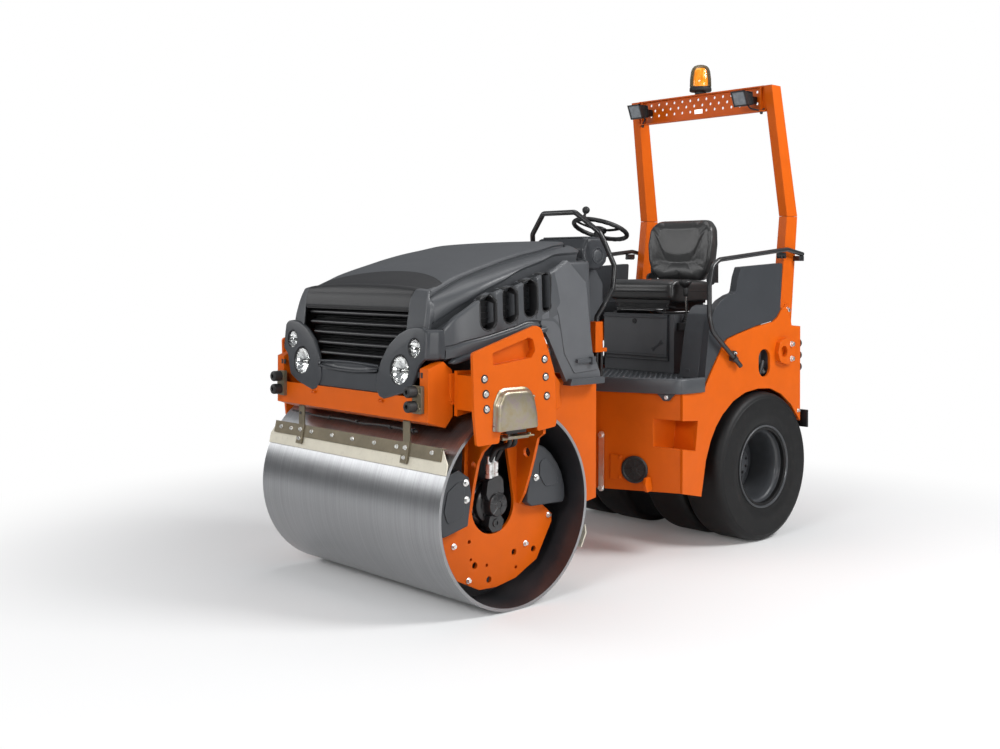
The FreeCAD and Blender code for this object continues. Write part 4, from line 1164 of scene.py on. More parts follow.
def build_front():
    o = (1, 0, 0)
    # buffers with a bolt hole and a bolt
    for name, xs, ys, zs, ax, body in (("front_buffer_rubbers", 452, 528, (986, 923), 1, "front_frame"),
                                       ("rear_buffer_rubbers", -2350, 565, (1088, 1018, 950), -1, "rear_frame")):
        bm = bmesh.new()
        bz = bmesh.new()
        R = 25 if ax == 1 else 27
        L = 46 if ax == 1 else 51.5
        for z in zs:
            for s in (1, -1):
                c = P(xs, s * ys, z)
                lathe_into(bm, c, (ax, 0, 0), [(0, 0), (R - 2, 0), (R, 3), (R, L - 9), (R - 1.4, L - 4), (R - 5, L - 1), (R - 9, L), (10.5, L), (9, L - 2), (9, L - 16), (0, L - 16)], 36)
                hexbolt_into(bz, P(xs + ax * (L - 17), s * ys, z), (ax, 0, 0), 14, 6, 0)
        ob = finish_mesh(name, mesh_from(bm), "rubber", body, smooth=32)
        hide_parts("front_buffers" if ax == 1 else "rear_buffers")
        finish_mesh(name.replace("rubbers", "bolts"), mesh_from(bz), "bsteel", body, smooth=30)
    # buffer brackets: pressed plate with bosses
    bm = bmesh.new()
    for s in (1, -1):
        yz_prism(bm, rounded([(s * 504, 890), (s * 566, 892), (s * 566, 1010), (s * 504, 1012)], 6, 3), 428.5, 446)
        for z in (986, 923):
            cyl_into(bm, P(446, s * 528, z), (1, 0, 0), 27, 6, 36, 1.2)
            hexbolt_into(bm, P(446, s * 556, z - 8), (1, 0, 0), 11, 6, 0)
    ob = finish_mesh("buffer_bracket_plates", mesh_from(bm), "khaki", "front_frame", smooth=30, bevel=1.6)
    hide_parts("buffer_brackets")
    # zinc covers: domed boxes with a flange
    bm = bmesh.new()
    outl = [(196, 812), (191, 933), (164, 986), (132, 997), (0, 996), (-40, 966), (-61, 886), (-68, 816)]
    rr = [8, 40, 40, 50, 50, 40, 60, 12]
    for s in (1, -1):
        rows = []
        cx, cz = 60, 905
        for sc, yy in ((1.0, 743.2), (1.0, 745.5), (0.985, 747), (0.955, 748.5), (0.935, 752), (0.925, 760), (0.905, 765.5), (0.87, 768.3), (0.80, 769)):
            ol = rounded(outl, rr, 5)
            rows.append([P(cx + (x - cx) * sc, s * yy, 812 + (z - 812) * (sc if sc > 0.9 else sc) - (0 if sc == 1 else 0)) for x, z in ol])
        vr = [[bm.verts.new(p) for p in r] for r in rows]
        n = len(vr[0])
        for a, b in zip(vr, vr[1:]):
            for k in range(n):
                bm.faces.new((a[k], a[(k + 1) % n], b[(k + 1) % n], b[k]))
        bm.faces.new(vr[-1])
    ob = finish_mesh("zinc_covers", mesh_from(bm), "chromate", "front_frame", smooth=50)
    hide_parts("hose_covers")
    bm = bmesh.new()
    for s in (1, -1):
        # clamp plate under the cover, two screws, three small glands above it
        box_into(bm, -46, 111, s * 700, s * 716, 764, 784)
        box_into(bm, -46, 111, s * 716, s * 752, 776, 783)
        for x in (-30, 94):
            hexbolt_into(bm, P(x, s * 736, 783), (0, 0, 1), 13, 7, 9, 1.5)
        for x, z in ((190, 838), (-63, 842), (-46, 950)):
            hexbolt_into(bm, P(x, s * 747, z), (0, s, 0), 9, 5, 7, 1.2)
    finish_mesh("clamp_plates", mesh_from(bm), "chromate", "front_frame", smooth=30, bevel=1.2)
    # big bolts on the carrier plates, each over a dark ring that is painted shadow
    bm, bd = bmesh.new(), bmesh.new()
    for s in (1, -1):
        for x, z in ((243, 1042), (235, 977), (230, 912), (-117, 1110), (-124, 1031), (-132, 945)):
            ring_into(bd, P(x, s * 742.6, z), (0, s, 0), [(12.5, 0), (19.5, 0), (18.5, 2.6), (13, 2.6)], 32)
            cyl_into(bm, P(x, s * 743, z), (0, s, 0), 13, 3.6, 28, 1.0)
            hexbolt_into(bm, P(x, s * 746.4, z), (0, s, 0), 17, 7.5, 0, spin=0.5)
        for x, z in ((253, 298), (167, 134), (-181, 247), (-330, 358)):
            hexbolt_into(bm, P(x, s * 556, z), (0, s, 0), 18, 10, 14, 2.6)
    finish_mesh("carrier_bolts", mesh_from(bm), "zinc", "front_frame", smooth=30)
    finish_mesh("carrier_bolt_shadow_rings", mesh_from(bd), "bsteel", "front_frame", smooth=30)
    # guards: thick moulded plates
    for nm, pts, rad in (("guard_rear", [(-209, 709), (-256, 692), (-301, 657), (-346, 604), (-374, 554), (-391, 500), (-394, 448), (-384, 418), (-176, 424),
                                         (-148, 445), (-150, 490), (-169, 577), (-180, 660)], [16, 60, 60, 60, 60, 60, 40, 14, 10, 14, 30, 60, 60]),
                         ("guard_front", [(265, 640), (204, 600), (190, 523), (204, 429), (209, 388), (352, 354), (385, 420), (389, 480), (369, 560),
                                          (330, 620)], [20, 14, 40, 30, 8, 14, 60, 60, 60, 60])):
        bm = bmesh.new()
        for s in (1, -1):
            ol = rounded(pts, rad, 5)
            xz_prism(bm, ol, s * 557, s * 603)
        ob = finish_mesh("drum_" + nm, mesh_from(bm), "greyhi", "front_frame", smooth=30, bevel=7.0, seg=3)
        if nm == "guard_rear":
            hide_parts("drum_guards")
    bm = bmesh.new()
    for s in (1, -1):
        # raised fields on the guards
        q = rounded([(-262, 640), (-330, 575), (-352, 505), (-262, 505), (-225, 560), (-225, 620)], 24, 5)
        prism_into(bm, [P(x, s * 603, z) for x, z in q], Vector((0, s * 0.004, 0)))
        q = rounded([(232, 440), (330, 410), (350, 470), (330, 550), (268, 590), (236, 560)], 22, 5)
        prism_into(bm, [P(x, s * 603, z) for x, z in q], Vector((0, s * 0.004, 0)))
    finish_mesh("guard_fields", mesh_from(bm), "greyhi", "front_frame", smooth=30, bevel=3.0)
    bm = bmesh.new()
    for s in (1, -1):
        for x, z in ((-203, 554), (226, 580), (222, 505)):
            hexbolt_into(bm, P(x, s * 603, z), (0, s, 0), 19, 10, 16, 3)
    finish_mesh("guard_bolts", mesh_from(bm), "zinc", "front_frame", smooth=30)
    # motors: flange, case, end cap with ribs, ports and fittings
    bm, bz = bmesh.new(), bmesh.new()
    for s in (1, -1):
        c = P(0, 0, 450)
        ax = (0, s, 0)
        lathe_into(bm, c, ax, [(0, 408), (60, 408), (60, 466), (100, 468), (104, 472), (104, 484), (98, 489), (90, 492), (88, 518), (80, 524), (60, 525), (56, 530),
                               (56, 560), (52, 570), (40, 574), (18, 575), (14, 571), (0, 571)], 64)
        for k in range(6):
            a = math.pi / 3 * k + 0.2
            t0 = Vector((math.cos(a), math.sin(a)))
            pts = [(t0.x * 16, t0.y * 16), (t0.x * 50, t0.y * 50)]
            tube_into(bm, [(pts[0][0], s * 573, 450 + pts[0][1]), (pts[1][0], s * 570, 450 + pts[1][1])], 4.0, 1, 8)
        for k in range(8):
            a = math.pi / 4 * k + 0.3
            hexbolt_into(bm, P(92 * math.cos(a), s * 489, 450 + 92 * math.sin(a)), ax, 15, 10, 0)
        for k in range(5):
            a = 2 * math.pi / 5 * k + 0.5
            hexbolt_into(bm, P(66 * math.cos(a), s * 524, 450 + 66 * math.sin(a)), ax, 12, 8, 0)
        # port block and valve lugs
        for pl, y0, y1 in (([(52, 470), (66, 500), (58, 560), (20, 576), (-14, 580), (-34, 560), (-40, 500)], 526, 562),
                           ([(-30, 330), (24, 326), (48, 356), (40, 400), (-20, 404), (-46, 372)], 500, 556)):
            q = rounded(pl, 10, 4)
            prism_into(bm, [P(x, s * y0, z) for x, z in q], Vector((0, s * (y1 - y0) / 1000.0, 0)))
        ring_into(bm, P(4, s * 556, 366), ax, [(9, 0), (20, 0), (18, 5), (10, 5)], 28)
        for x in (38, 2):
            zb = 575 if x == 38 else 580
            lathe_into(bz, P(x, s * 545, zb - 4), (0, 0, 1), [(0, 0), (17, 0), (17, 16), (14, 18), (14, 30), (16.5, 32), (16.5, 62), (13, 66), (0, 66)], 6)
            lathe_into(bz, P(x, s * 545, zb + 60), (0, 0, 1), [(0, 0), (14.5, 0), (14.5, 34), (12, 36), (0, 36)], 24)
    ob = finish_mesh("motor_cases", mesh_from(bm), "bsteel", "front_frame", smooth=35)
    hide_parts("drum_motors")
    finish_mesh("motor_fittings", mesh_from(bz), "zinc", "front_frame", smooth=35)
    # scraper bolts on the leaned bar
    bm = bmesh.new()
    ln = Vector((math.cos(math.radians(12)), 0, math.sin(math.radians(12))))

    def leaned(x, y, z):
        a = math.radians(12)
        dx, dz = x - 408, z - 640
        return P(408 + dx * math.cos(a) - dz * math.sin(a), y, 640 + dx * math.sin(a) + dz * math.cos(a))
    for y in (-590, -500, -323, -151, 12, 180, 345, 590):
        hexbolt_into(bm, leaned(422, y, 726), ln, 14, 8, 10, 1.6)
    for s in (1, -1):
        hexbolt_into(bm, leaned(428, s * 412, 728), ln, 15, 8, 11, 2)
        hexbolt_into(bm, leaned(428, s * 412, 684), ln, 13, 7, 9, 2)
    finish_mesh("scraper_bolts", mesh_from(bm), "zinc", "front_frame", smooth=30)
    # small wiring clips and cable under the front beam, and column slots
    bm = bmesh.new()
    for s in (1, -1):
        for y0, y1 in ((521, 536), (540, 555)):
            xy_prism(bm, rounded([(424, s * y0), (428.8, s * y0), (428.8, s * y1), (424, s * y1)], 0.5, 2), 1044, 1067)
    tube_into(bm, [(396, -500, 815), (398, -240, 806), (400, -60, 812), (396, 60, 804), (398, 250, 812), (396, 480, 806)], 5, 60, 10)
    for y in (-420, -180, 40, 290, 450):
        ring_into(bm, P(397, y, 809), (0, 1, 0), [(6, -6), (10, -6), (10, 6), (6, 6)], 16)
    finish_mesh("beam_cables", mesh_from(bm), "rubber", "front_frame", smooth=40)


def build_hood_panels():
    """Flat facetted side plates at the back of the hood, with the foot flange and a latch."""
    bm = bmesh.new()
    base = [(-229, 1492), (-345, 1556), (-474, 1452), (-495, 1292), (-521, 1121), (-575, 1021), (-575, 975), (-352, 975), (-228, 1189), (-176, 1262),
            (-180, 1300), (-229, 1322)]
    field = [(-240, 1493), (-347, 1552), (-470, 1450), (-490, 1292), (-516, 1121), (-562, 1036), (-392, 1026), (-326, 1120), (-290, 1290), (-256, 1382)]
    for s in (1, -1):
        xz_prism(bm, rounded(base, [6, 10, 14, 10, 10, 10, 3, 14, 20, 12, 12, 12], 4), s * 636, s * 661)
        xz_prism(bm, rounded(field, [6, 10, 14, 10, 10, 10, 20, 20, 20, 20], 4), s * 650, s * 665.5)
    # side plates in the lighter grey copy: painted light
    finish_mesh("hood_side_plates", mesh_from(bm), "grey_painted_lit", "hood", smooth=30, bevel=2.4, seg=3)
    bm = bmesh.new()
    for s in (1, -1):
        q = [(-338, 972), (-575, 972), (-575, 1003), (-352, 1003)]
        xz_prism(bm, rounded(q, 5, 3), s * 640, s * 690)
        box_into(bm, -515, -399, s * 664, s * 680, 1074, 1092)
        box_into(bm, -515, -492, s * 664, s * 688, 1064, 1100)
    finish_mesh("hood_foot_flanges", mesh_from(bm), "grey", "hood", smooth=30, bevel=2.5, seg=2)


def build_hood_strip():
    bm = bmesh.new()
    pts = [(318, 606, 1106), (300, 614, 1112), (256, 634, 1128), (180, 650, 1152), (98, 659, 1178), (0, 664, 1200), (-85, 668, 1217), (-180, 668, 1236), (-205, 666, 1240)]
    xs = [p[0] for p in pts][::-1]
    ys = [p[1] for p in pts][::-1]
    zs = [p[2] for p in pts][::-1]
    for s in (1, -1):
        rows = []
        x = 316.0
        while x > -204:
            y = catmull(xs, ys, x)
            z = catmull(xs, zs, x)
            e = min(1.0, (318 - x) / 22.0)
            w = 13 * math.sqrt(max(0.02, e))
            rows.append([P(x, s * (y + a), z + b) for a, b in ((-16, w), (w * 0.3, w), (w * 0.8, w * 0.75), (w, w * 0.2), (w * 0.9, -w * 0.6), (w * 0.4, -w), (-16, -w))])
            x -= 12.0
        loft_into(bm, rows)
    finish_mesh("hood_strips", mesh_from(bm), "greyhi", "hood", smooth=45)


def build_rear():
    bm, bz, bk, bo = bmesh.new(), bmesh.new(), bmesh.new(), bmesh.new()
    for s in (1, -1):
        nrm = Vector((0.9096, s * 0.4154, 0)).normalized()
        tan = Vector((-0.4154, s * 0.9096, 0)).normalized()

        def F(u, z, d=0.0):
            """A point on the slanting face: u is |y|."""
            x = -1080 - (u - 207) * (184.0 / 403.0)
            return P(x, s * u, z) + nrm * (d / 1000.0)
        # round cap with ribs
        c = F(375, 457, 0.5)
        lathe_into(bk, c, nrm, [(0, 0), (72, 0), (72, 7), (67, 12), (60, 12), (55, 5), (18, 5), (15, 9), (0, 9)], 48)
        for k in range(8):
            a = math.pi / 4 * k
            u = tan * math.cos(a) + Vector((0, 0, 1)) * math.sin(a)
            p0 = c + u * 0.016 + nrm * 0.006
            p1 = c + u * 0.051 + nrm * 0.006
            a0 = ((p0.x * 1000 - OX), p0.y * 1000, p0.z * 1000)
            a1 = ((p1.x * 1000 - OX), p1.y * 1000, p1.z * 1000)
            tube_into(bk, [a0, a1], 3.0, 1, 8)
        # cover plate with two screws
        q = [(254, 398), (312, 398), (312, 526), (254, 534)]
        prism_into(bo, [F(a, b, 0.2) for a, b in q], nrm * 0.005)
        for a, b in ((300, 412), (300, 516)):
            hexbolt_into(bo, F(a, b, 5), nrm, 11, 5, 8, 1.2)
        # tie-down lug
        lug = rounded([(-10, -36), (40, -46), (58, -6), (52, 30), (10, 34)], 12, 4)
        base = F(446, 392, 0)
        d2 = Vector((1, s * 0.12, 0)).normalized()
        pl = [base + d2 * (a / 1000.0) + Vector((0, 0, b / 1000.0)) for a, b in lug]
        prism_into(bo, pl, Vector((-d2.y, d2.x, 0)) * 0.016)
    # zinc lock bar on its two pins, left side
    q = rounded([(-14, 332), (14, 332), (14, 652), (-14, 652)], 13, 6)
    bx = P(-1074, 214, 0)
    tn = Vector((-0.4154, 0.9096, 0)).normalized()
    nn = Vector((0.9096, 0.4154, 0)).normalized()
    prism_into(bz, [bx + tn * (a / 1000.0) + Vector((0, 0, b / 1000.0)) for a, b in q], nn * 0.010)
    for z in (352, 632):
        hexbolt_into(bz, bx + Vector((0, 0, z / 1000.0)) + nn * 0.010, nn, 24, 14, 17, 3)
        cyl_into(bk, bx + Vector((0, 0, z / 1000.0)) - nn * 0.02, nn, 13, 20, 20)
    # bolts of the lifting eyes and posts
    for s in (1, -1):
        for x, z in ((-2222, 1092), (-2222, 1008)):
            hexbolt_into(bz, P(x, s * 636, z), (0, s, 0), 24, 13, 17, 3)
        q = rounded([(-2316, 1190), (-2250, 1190), (-2248, 1296), (-2268, 1320), (-2302, 1320), (-2320, 1296)], [3, 3, 22, 22, 22, 22], 5)
        xz_prism(bo, q, s * 556, s * 564)
        hexbolt_into(bz, P(-2285, s * 564.5, 1284), (0, s, 0), 22, 12, 17, 3)
        hexbolt_into(bz, P(-2330, s * 609.5, 700), (0, s, 0), 16, 9, 12, 2)
        # outline for a roller-foot bolt under the floor; no piece is built from it
        q = rounded([(-1195, 868), (-1255, 868), (-1238, 838), (-1225, 829), (-1212, 838)], [1, 1, 6, 8, 6], 4)
    finish_mesh("nose_caps", mesh_from(bk), "rubber", "rear_frame", smooth=35)
    finish_mesh("nose_plates", mesh_from(bo), "orange", "rear_frame", smooth=35, bevel=1.0)
    finish_mesh("rear_zinc", mesh_from(bz), "zinc", "rear_frame", smooth=30, bevel=0.0)
    # dark filler and hose shapes seen through the oval holes
    bm = bmesh.new()
    for s in (1, -1):
        tube_into(bm, [(-2010, s * 588, 930), (-1990, s * 560, 975), (-1975, s * 575, 1020), (-2000, s * 560, 1075)], 20, 30, 14)
        tube_into(bm, [(-1965, s * 585, 920), (-1982, s * 592, 960), (-2010, s * 582, 1000)], 14, 30, 12)
    finish_mesh("side_hoses", mesh_from(bm), "rubber", "rear_frame", smooth=40)
    # floor lug with its bolt
    bm, b2 = bmesh.new(), bmesh.new()
    for s in (1, -1):
        nrm = Vector((0.9096, s * 0.4154, 0)).normalized()
        tan = Vector((-0.4154, s * 0.9096, 0)).normalized()
        q = rounded([(-62, 24), (62, 24), (30, -6), (17, -24), (-17, -24), (-30, -6)], [1, 1, 18, 12, 12, 18], 5)
        base = P(-1080 - (532 - 207) * (184.0 / 403.0), s * 532, 0) + nrm * 0.001
        prism_into(bm, [base + tan * (a / 1000.0) + Vector((0, 0, (852 + b) / 1000.0)) for a, b in q], nrm * 0.012)
        hexbolt_into(b2, base + nrm * 0.012 + Vector((0, 0, 0.846)), nrm, 15, 8, 11, 2)
    finish_mesh("floor_lugs", mesh_from(bm), "greyhi", "rear_frame", smooth=30, bevel=1.5)
    finish_mesh("floor_lug_bolts", mesh_from(b2), "zinc", "rear_frame", smooth=30)


def build_platform():
    # front edge of the floor, thick moulding following the plan
    bm = bmesh.new()
    for s in (1, -1):
        pl = [(-1010, 40), (-1068, 216), (-1240, 612), (-1436, 612)]
        path = smooth_path([(x, s * y, 0) for x, y in pl], 60, 6)
        rows = []
        for i, p in enumerate(path):
            a = path[max(i - 1, 0)]
            b = path[min(i + 1, len(path) - 1)]
            t = (b - a).normalized()
            nrm = Vector((t.y, -t.x, 0)) * s
            rows.append([P(*(p + nrm * o_ + Vector((0, 0, z_)))) for o_, z_ in
                         ((-12, 931), (-12, 941), (-8, 945), (2, 945), (8, 942), (11, 936), (11, 872), (8, 866), (-2, 864), (-6, 868), (-6, 931))])
        loft_into(bm, rows)
    finish_mesh("floor_edges", mesh_from(bm), "grey", "rear_frame", smooth=40)
    # raised studs over the floor
    bm = bmesh.new()
    row = 0
    x = -1120.0
    while x > -1600:
        y = -560.0 + (18 if row % 2 else 0)
        while y <= 560:
            lim = 207 + (-1080 - x) * (403.0 / 184.0) - 30
            ok = abs(y) < min(560, lim)
            if x < -1440 and abs(y) > 425:
                ok = False
            if x > -1140 and abs(y) < 130:
                ok = False
            if ok:
                lathe_into(bm, P(x, y, 930), (0, 0, 1), [(9, -0.5), (8, 2.2), (6, 3.4), (0, 3.6)], 8)
            y += 36.0
        x -= 24.0
        row += 1
    finish_mesh("floor_studs", mesh_from(bm), "grey", "rear_frame", smooth=50)
    # door: panel, reveal, lock, embossed spanner, fold line, hinge
    bm = bmesh.new()
    q = rounded([(-256, 1020), (220, 1020), (220, 1246), (-256, 1246)], 10, 4)
    yz_prism(bm, q, -1618.5, -1606)
    # door panel in the lighter grey copy: painted light
    ob = finish_mesh("door_panel", mesh_from(bm), "grey_painted_lit", "box_door", smooth=30, bevel=2.5)
    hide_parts("box_door")
    bm = bmesh.new()
    box_into(bm, -1606.5, -1600, -256, 220, 1240, 1252)
    box_into(bm, -1606.5, -1603.5, -240, 206, 1034, 1036)
    # spanner
    sp = bmesh.new()
    ca, sa = math.cos(math.radians(35)), math.sin(math.radians(35))

    def rot(p, c=(150, 1084)):
        return (c[0] + p[0] * ca - p[1] * sa, c[1] + p[0] * sa + p[1] * ca)
    yz_prism(sp, [rot(p) for p in [(-30, -5), (30, -5), (30, 5), (-30, 5)]], -1606, -1603.6)
    for c0 in (-36, 36):
        k0 = 1 if c0 > 0 else -1
        yz_prism(sp, [rot((c0 + 12 * math.cos(a) * k0, 12 * math.sin(a))) for a in [math.radians(40 + 280 * i / 14) for i in range(15)]] + [rot((c0 + 3 * k0, 0))], -1606, -1603.6)
    finish_mesh("door_trim", mesh_from(bm), "grey", "box_door", smooth=30, bevel=1.2)
    finish_mesh("door_spanner_mark", mesh_from(sp), "grey", "box_door", smooth=30)
    bm = bmesh.new()
    ring_into(bm, P(-1606, -18, 1220), (1, 0, 0), [(9, 0), (15, 0), (14, 4.5), (10, 4.5)], 28)
    lathe_into(bm, P(-1606, -18, 1220), (1, 0, 0), [(9, 0), (9, 3), (0, 3)], 24)
    box_into(bm, -1603.2, -1602.4, -19.2, -16.8, 1214, 1226)
    finish_mesh("door_lock", mesh_from(bm), "bsteel", "box_door", smooth=35)
    # dark frame round the door opening
    bm = bmesh.new()
    for a, b, c, d in ((-262, -257, 1000, 1262), (221, 226, 1000, 1262), (-262, 226, 1248, 1262), (-262, 226, 998, 1005)):
        box_into(bm, -1621, -1612, a, b, c, d)
    finish_mesh("door_frame", mesh_from(bm), "grey", "rear_frame", smooth=30, bevel=1.0)
    # seat rails with levers
    bm = bmesh.new()
    for s in (1, -1):
        box_into(bm, -2010, -1628, s * 176, s * 200, 1262.5, 1274)
        box_into(bm, -1996, -1642, s * 160, s * 186, 1276, 1290)
    box_into(bm, -2000, -1650, -200, 200, 1290, 1296)
    tube_into(bm, [(-1640, -150, 1282), (-1618, -150, 1284), (-1612, -120, 1284), (-1612, 130, 1284), (-1620, 160, 1284), (-1650, 160, 1282)], 6, 14, 10)
    tube_into(bm, [(-1700, 206, 1300), (-1650, 214, 1306), (-1612, 216, 1312)], 6, 20, 10)
    # folded bellows under the pan
    for k, (g, z0, z1) in enumerate(((0, 1296, 1299), (8, 1299, 1303), (0, 1303, 1306), (8, 1306, 1310), (0, 1310, 1313), (8, 1313, 1317), (0, 1317, 1322))):
        box_into(bm, -1984 - g, -1666 + g, -186 - g, 186 + g, z0, z1)
    ob = finish_mesh("seat_slides", mesh_from(bm), "bsteel", "rear_frame", smooth=30, bevel=1.2)
    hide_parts("seat_rails")
    # lever: gaiter, stem, pear-shaped grip
    bm, bs = bmesh.new(), bmesh.new()
    o = P(-1690, 300, 1216)
    ax = Vector((0.08, 0, 1)).normalized()
    prof = [(0, -2), (34, -2)]
    for k in range(5):
        r = 34 - 5.2 * k
        prof += [(r, 3 + 12 * k), (r - 5, 8 + 12 * k), (r - 4.6, 12 + 12 * k)]
    prof += [(8, 64), (0, 64)]
    lathe_into(bm, o, ax, prof, 32)
    lathe_into(bm, o, ax, [(0, 150), (11, 150), (14, 155), (15, 170), (15, 196), (12, 204), (9, 206), (0, 206)], 24)
    lathe_into(bm, o, ax, [(0, 198), (14, 199), (20, 206), (30, 216), (36, 226), (36, 234), (31, 241), (20, 245), (0, 246)], 36)
    lathe_into(bs, o, ax, [(0, 40), (7.5, 40), (7.5, 205), (0, 205)], 20)
    xy_prism(bm, rounded([(-1735, 262), (-1640, 262), (-1640, 338), (-1735, 338)], 10, 4), 1176, 1216)
    ob = finish_mesh("lever_parts", mesh_from(bm), "black", "rear_frame", smooth=40)
    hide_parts("drive_lever")
    finish_mesh("lever_stem", mesh_from(bs), "chrome", "rear_frame", smooth=40)


def build_covers():
    # outer side covers with softly rounded edges, and their inner columns
    pts = [(-2175, 1556), (-1778, 1531), (-1752, 1478), (-1732, 1400), (-1722, 1388), (-1669, 1376), (-1600, 1348), (-1543, 1304), (-1510, 1245), (-1495, 1190),
           (-1466, 1000), (-1452, 900), (-1516, 987), (-1615, 1116), (-1647, 1142), (-1744, 1167), (-1902, 1201), (-2078, 1227),
           (-2119, 1249), (-2155, 1290)]
    rad = [14, 16, 60, 14, 14, 40, 60, 60, 60, 60, 120, 3, 20, 30, 30, 60, 60, 40, 30, 20]
    bm = bmesh.new()
    for s in (1, -1):
        xz_prism(bm, rounded(pts, rad, 5), s * 560, s * 604)
    ob = finish_mesh("side_cover_shells", mesh_from(bm), "greyhi", "rear_frame", smooth=32, bevel=6.0, seg=4)
    bm = bmesh.new()
    for s in (1, -1):
        xz_prism(bm, rounded([(-2056, 1320), (-1596, 1322), (-1560, 1310), (-1528, 1276), (-1500, 1180), (-1466, 1000), (-1452, 932), (-1600, 932), (-1618, 1242),
                              (-2056, 1242)], [6, 20, 30, 30, 60, 60, 3, 3, 20, 6], 4), s * 432, s * 559)
    finish_mesh("side_cover_columns", mesh_from(bm), "grey", "rear_frame", smooth=32, bevel=6.0, seg=3)
    bm = bmesh.new()
    for s in (1, -1):
        # moulded rib and latch on the column, vertical lines
        box_into(bm, -1618, -1598, s * 428, s * 432.5, 960, 1230)
        box_into(bm, -1470, -1458, s * 470, s * 500, 944, 980)
        xz_prism(bm, rounded([(-1690, 1262), (-1560, 1262), (-1545, 1180), (-1530, 1080), (-1588, 1080), (-1600, 1180), (-1690, 1200)], 12, 3), s * 427, s * 432.5)
    finish_mesh("column_trim", mesh_from(bm), "grey", "rear_frame", smooth=32, bevel=2.0)
    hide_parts("side_covers")


def build_console():
    bm = bmesh.new()
    # pod: a drum-like body across the machine with dished round ends
    pod = rounded([(-956, 1552), (-952, 1625), (-990, 1684), (-1096, 1688), (-1152, 1640), (-1140, 1556), (-1086, 1512), (-1000, 1512)],
                  [30, 36, 34, 34, 36, 34, 34, 34], 5)
    cx, cz = -1052, 1600
    for s in (1,):
        rows = []
        for y, sc in ((-190, 0.80), (-189, 0.88), (-184, 0.955), (-174, 0.99), (-160, 1.0), (-80, 1.0), (0, 1.0), (80, 1.0), (160, 1.0), (174, 0.99), (184, 0.955), (189, 0.88), (190, 0.80)):
            rows.append([P(cx + (x - cx) * sc, y, cz + (z - cz) * sc) for x, z in pod])
        loft_into(bm, rows)
    ob = finish_mesh("console_pod", mesh_from(bm), "greyhi", "rear_frame", smooth=40)
    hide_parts("console")
    bm = bmesh.new()
    for s in (1, -1):
        c = P(-1064, s * 189, 1590)
        ring_into(bm, c, (0, s, 0), [(38, -4), (46, -4), (44, 4), (40, 4)], 40)
        lathe_into(bm, c, (0, s, 0), [(0, 4), (22, 4), (28, 2), (38, -2), (38, -6), (0, -6)], 40)
    # slats over the top
    for k in range(4):
        x = -1000 - 26 * k
        rows = []
        for y in range(-150, 151, 30):
            rows.append([P(x + a, y, 1684 + b + (0.5 if k in (1, 2) else 0)) for a, b in ((-9, 0), (-8, 5), (-3, 7), (4, 7), (8, 4), (9, 0), (0, -3))])
        loft_into(bm, rows)
    finish_mesh("console_details", mesh_from(bm), "grey", "rear_frame", smooth=40)
    bm = bmesh.new()
    xz_prism(bm, rounded([(-1016, 931), (-1016, 1520), (-1120, 1520), (-1182, 1440), (-1182, 1330), (-1134, 1200), (-1130, 931)],
                         [4, 10, 20, 30, 30, 60, 4], 4), -120, 120)
    finish_mesh("console_column", mesh_from(bm), "grey", "rear_frame", smooth=32, bevel=9.0, seg=3)
    # instrument face toward the seat: screen, keys
    bm, bg = bmesh.new(), bmesh.new()
    t = Vector((-0.62, 0, 0.78)).normalized()
    u = Vector((0.78, 0, 0.62)).normalized()
    o = P(-1128, 0, 1668)

    def Q(a, b, h=0.0):
        return o + Vector((0, a / 1000.0, 0)) + u * (b / 1000.0) + t * (h / 1000.0)
    prism_into(bm, [Q(-150, -34, -4), (Q(150, -34, -4)), Q(150, 34, -4), Q(-150, 34, -4)], t * 0.007)
    finish_mesh("console_face", mesh_from(bm), "black", "rear_frame", smooth=30, bevel=2)
    prism_into(bg, [Q(-50, -24, 3), Q(50, -24, 3), Q(50, 24, 3), Q(-50, 24, 3)], t * 0.002)
    for a in (-128, -104, -80, 80, 104, 128):
        for b in (-16, 14):
            prism_into(bg, [Q(a - 8, b - 9, 3), Q(a + 8, b - 9, 3), Q(a + 8, b + 9, 3), Q(a - 8, b + 9, 3)], t * 0.005)
    finish_mesh("console_keys", mesh_from(bg), "bsteel", "rear_frame", smooth=30, bevel=0.8)
    # column boot
    bm = bmesh.new()
    n = Vector((-math.sin(0.357), 0, math.cos(0.357)))
    wc = P(-1292, 0, 1741)
    lathe_into(bm, wc - n * 0.020, -n, [(0, 0), (24, 0), (30, 6), (34, 30), (36, 70), (44, 110), (50, 150), (50, 170), (28, 200), (28, 330), (0, 330)], 36)
    ob = finish_mesh("steering_column_boot", mesh_from(bm), "black", "rear_frame", smooth=40)
    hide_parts("steering_column")


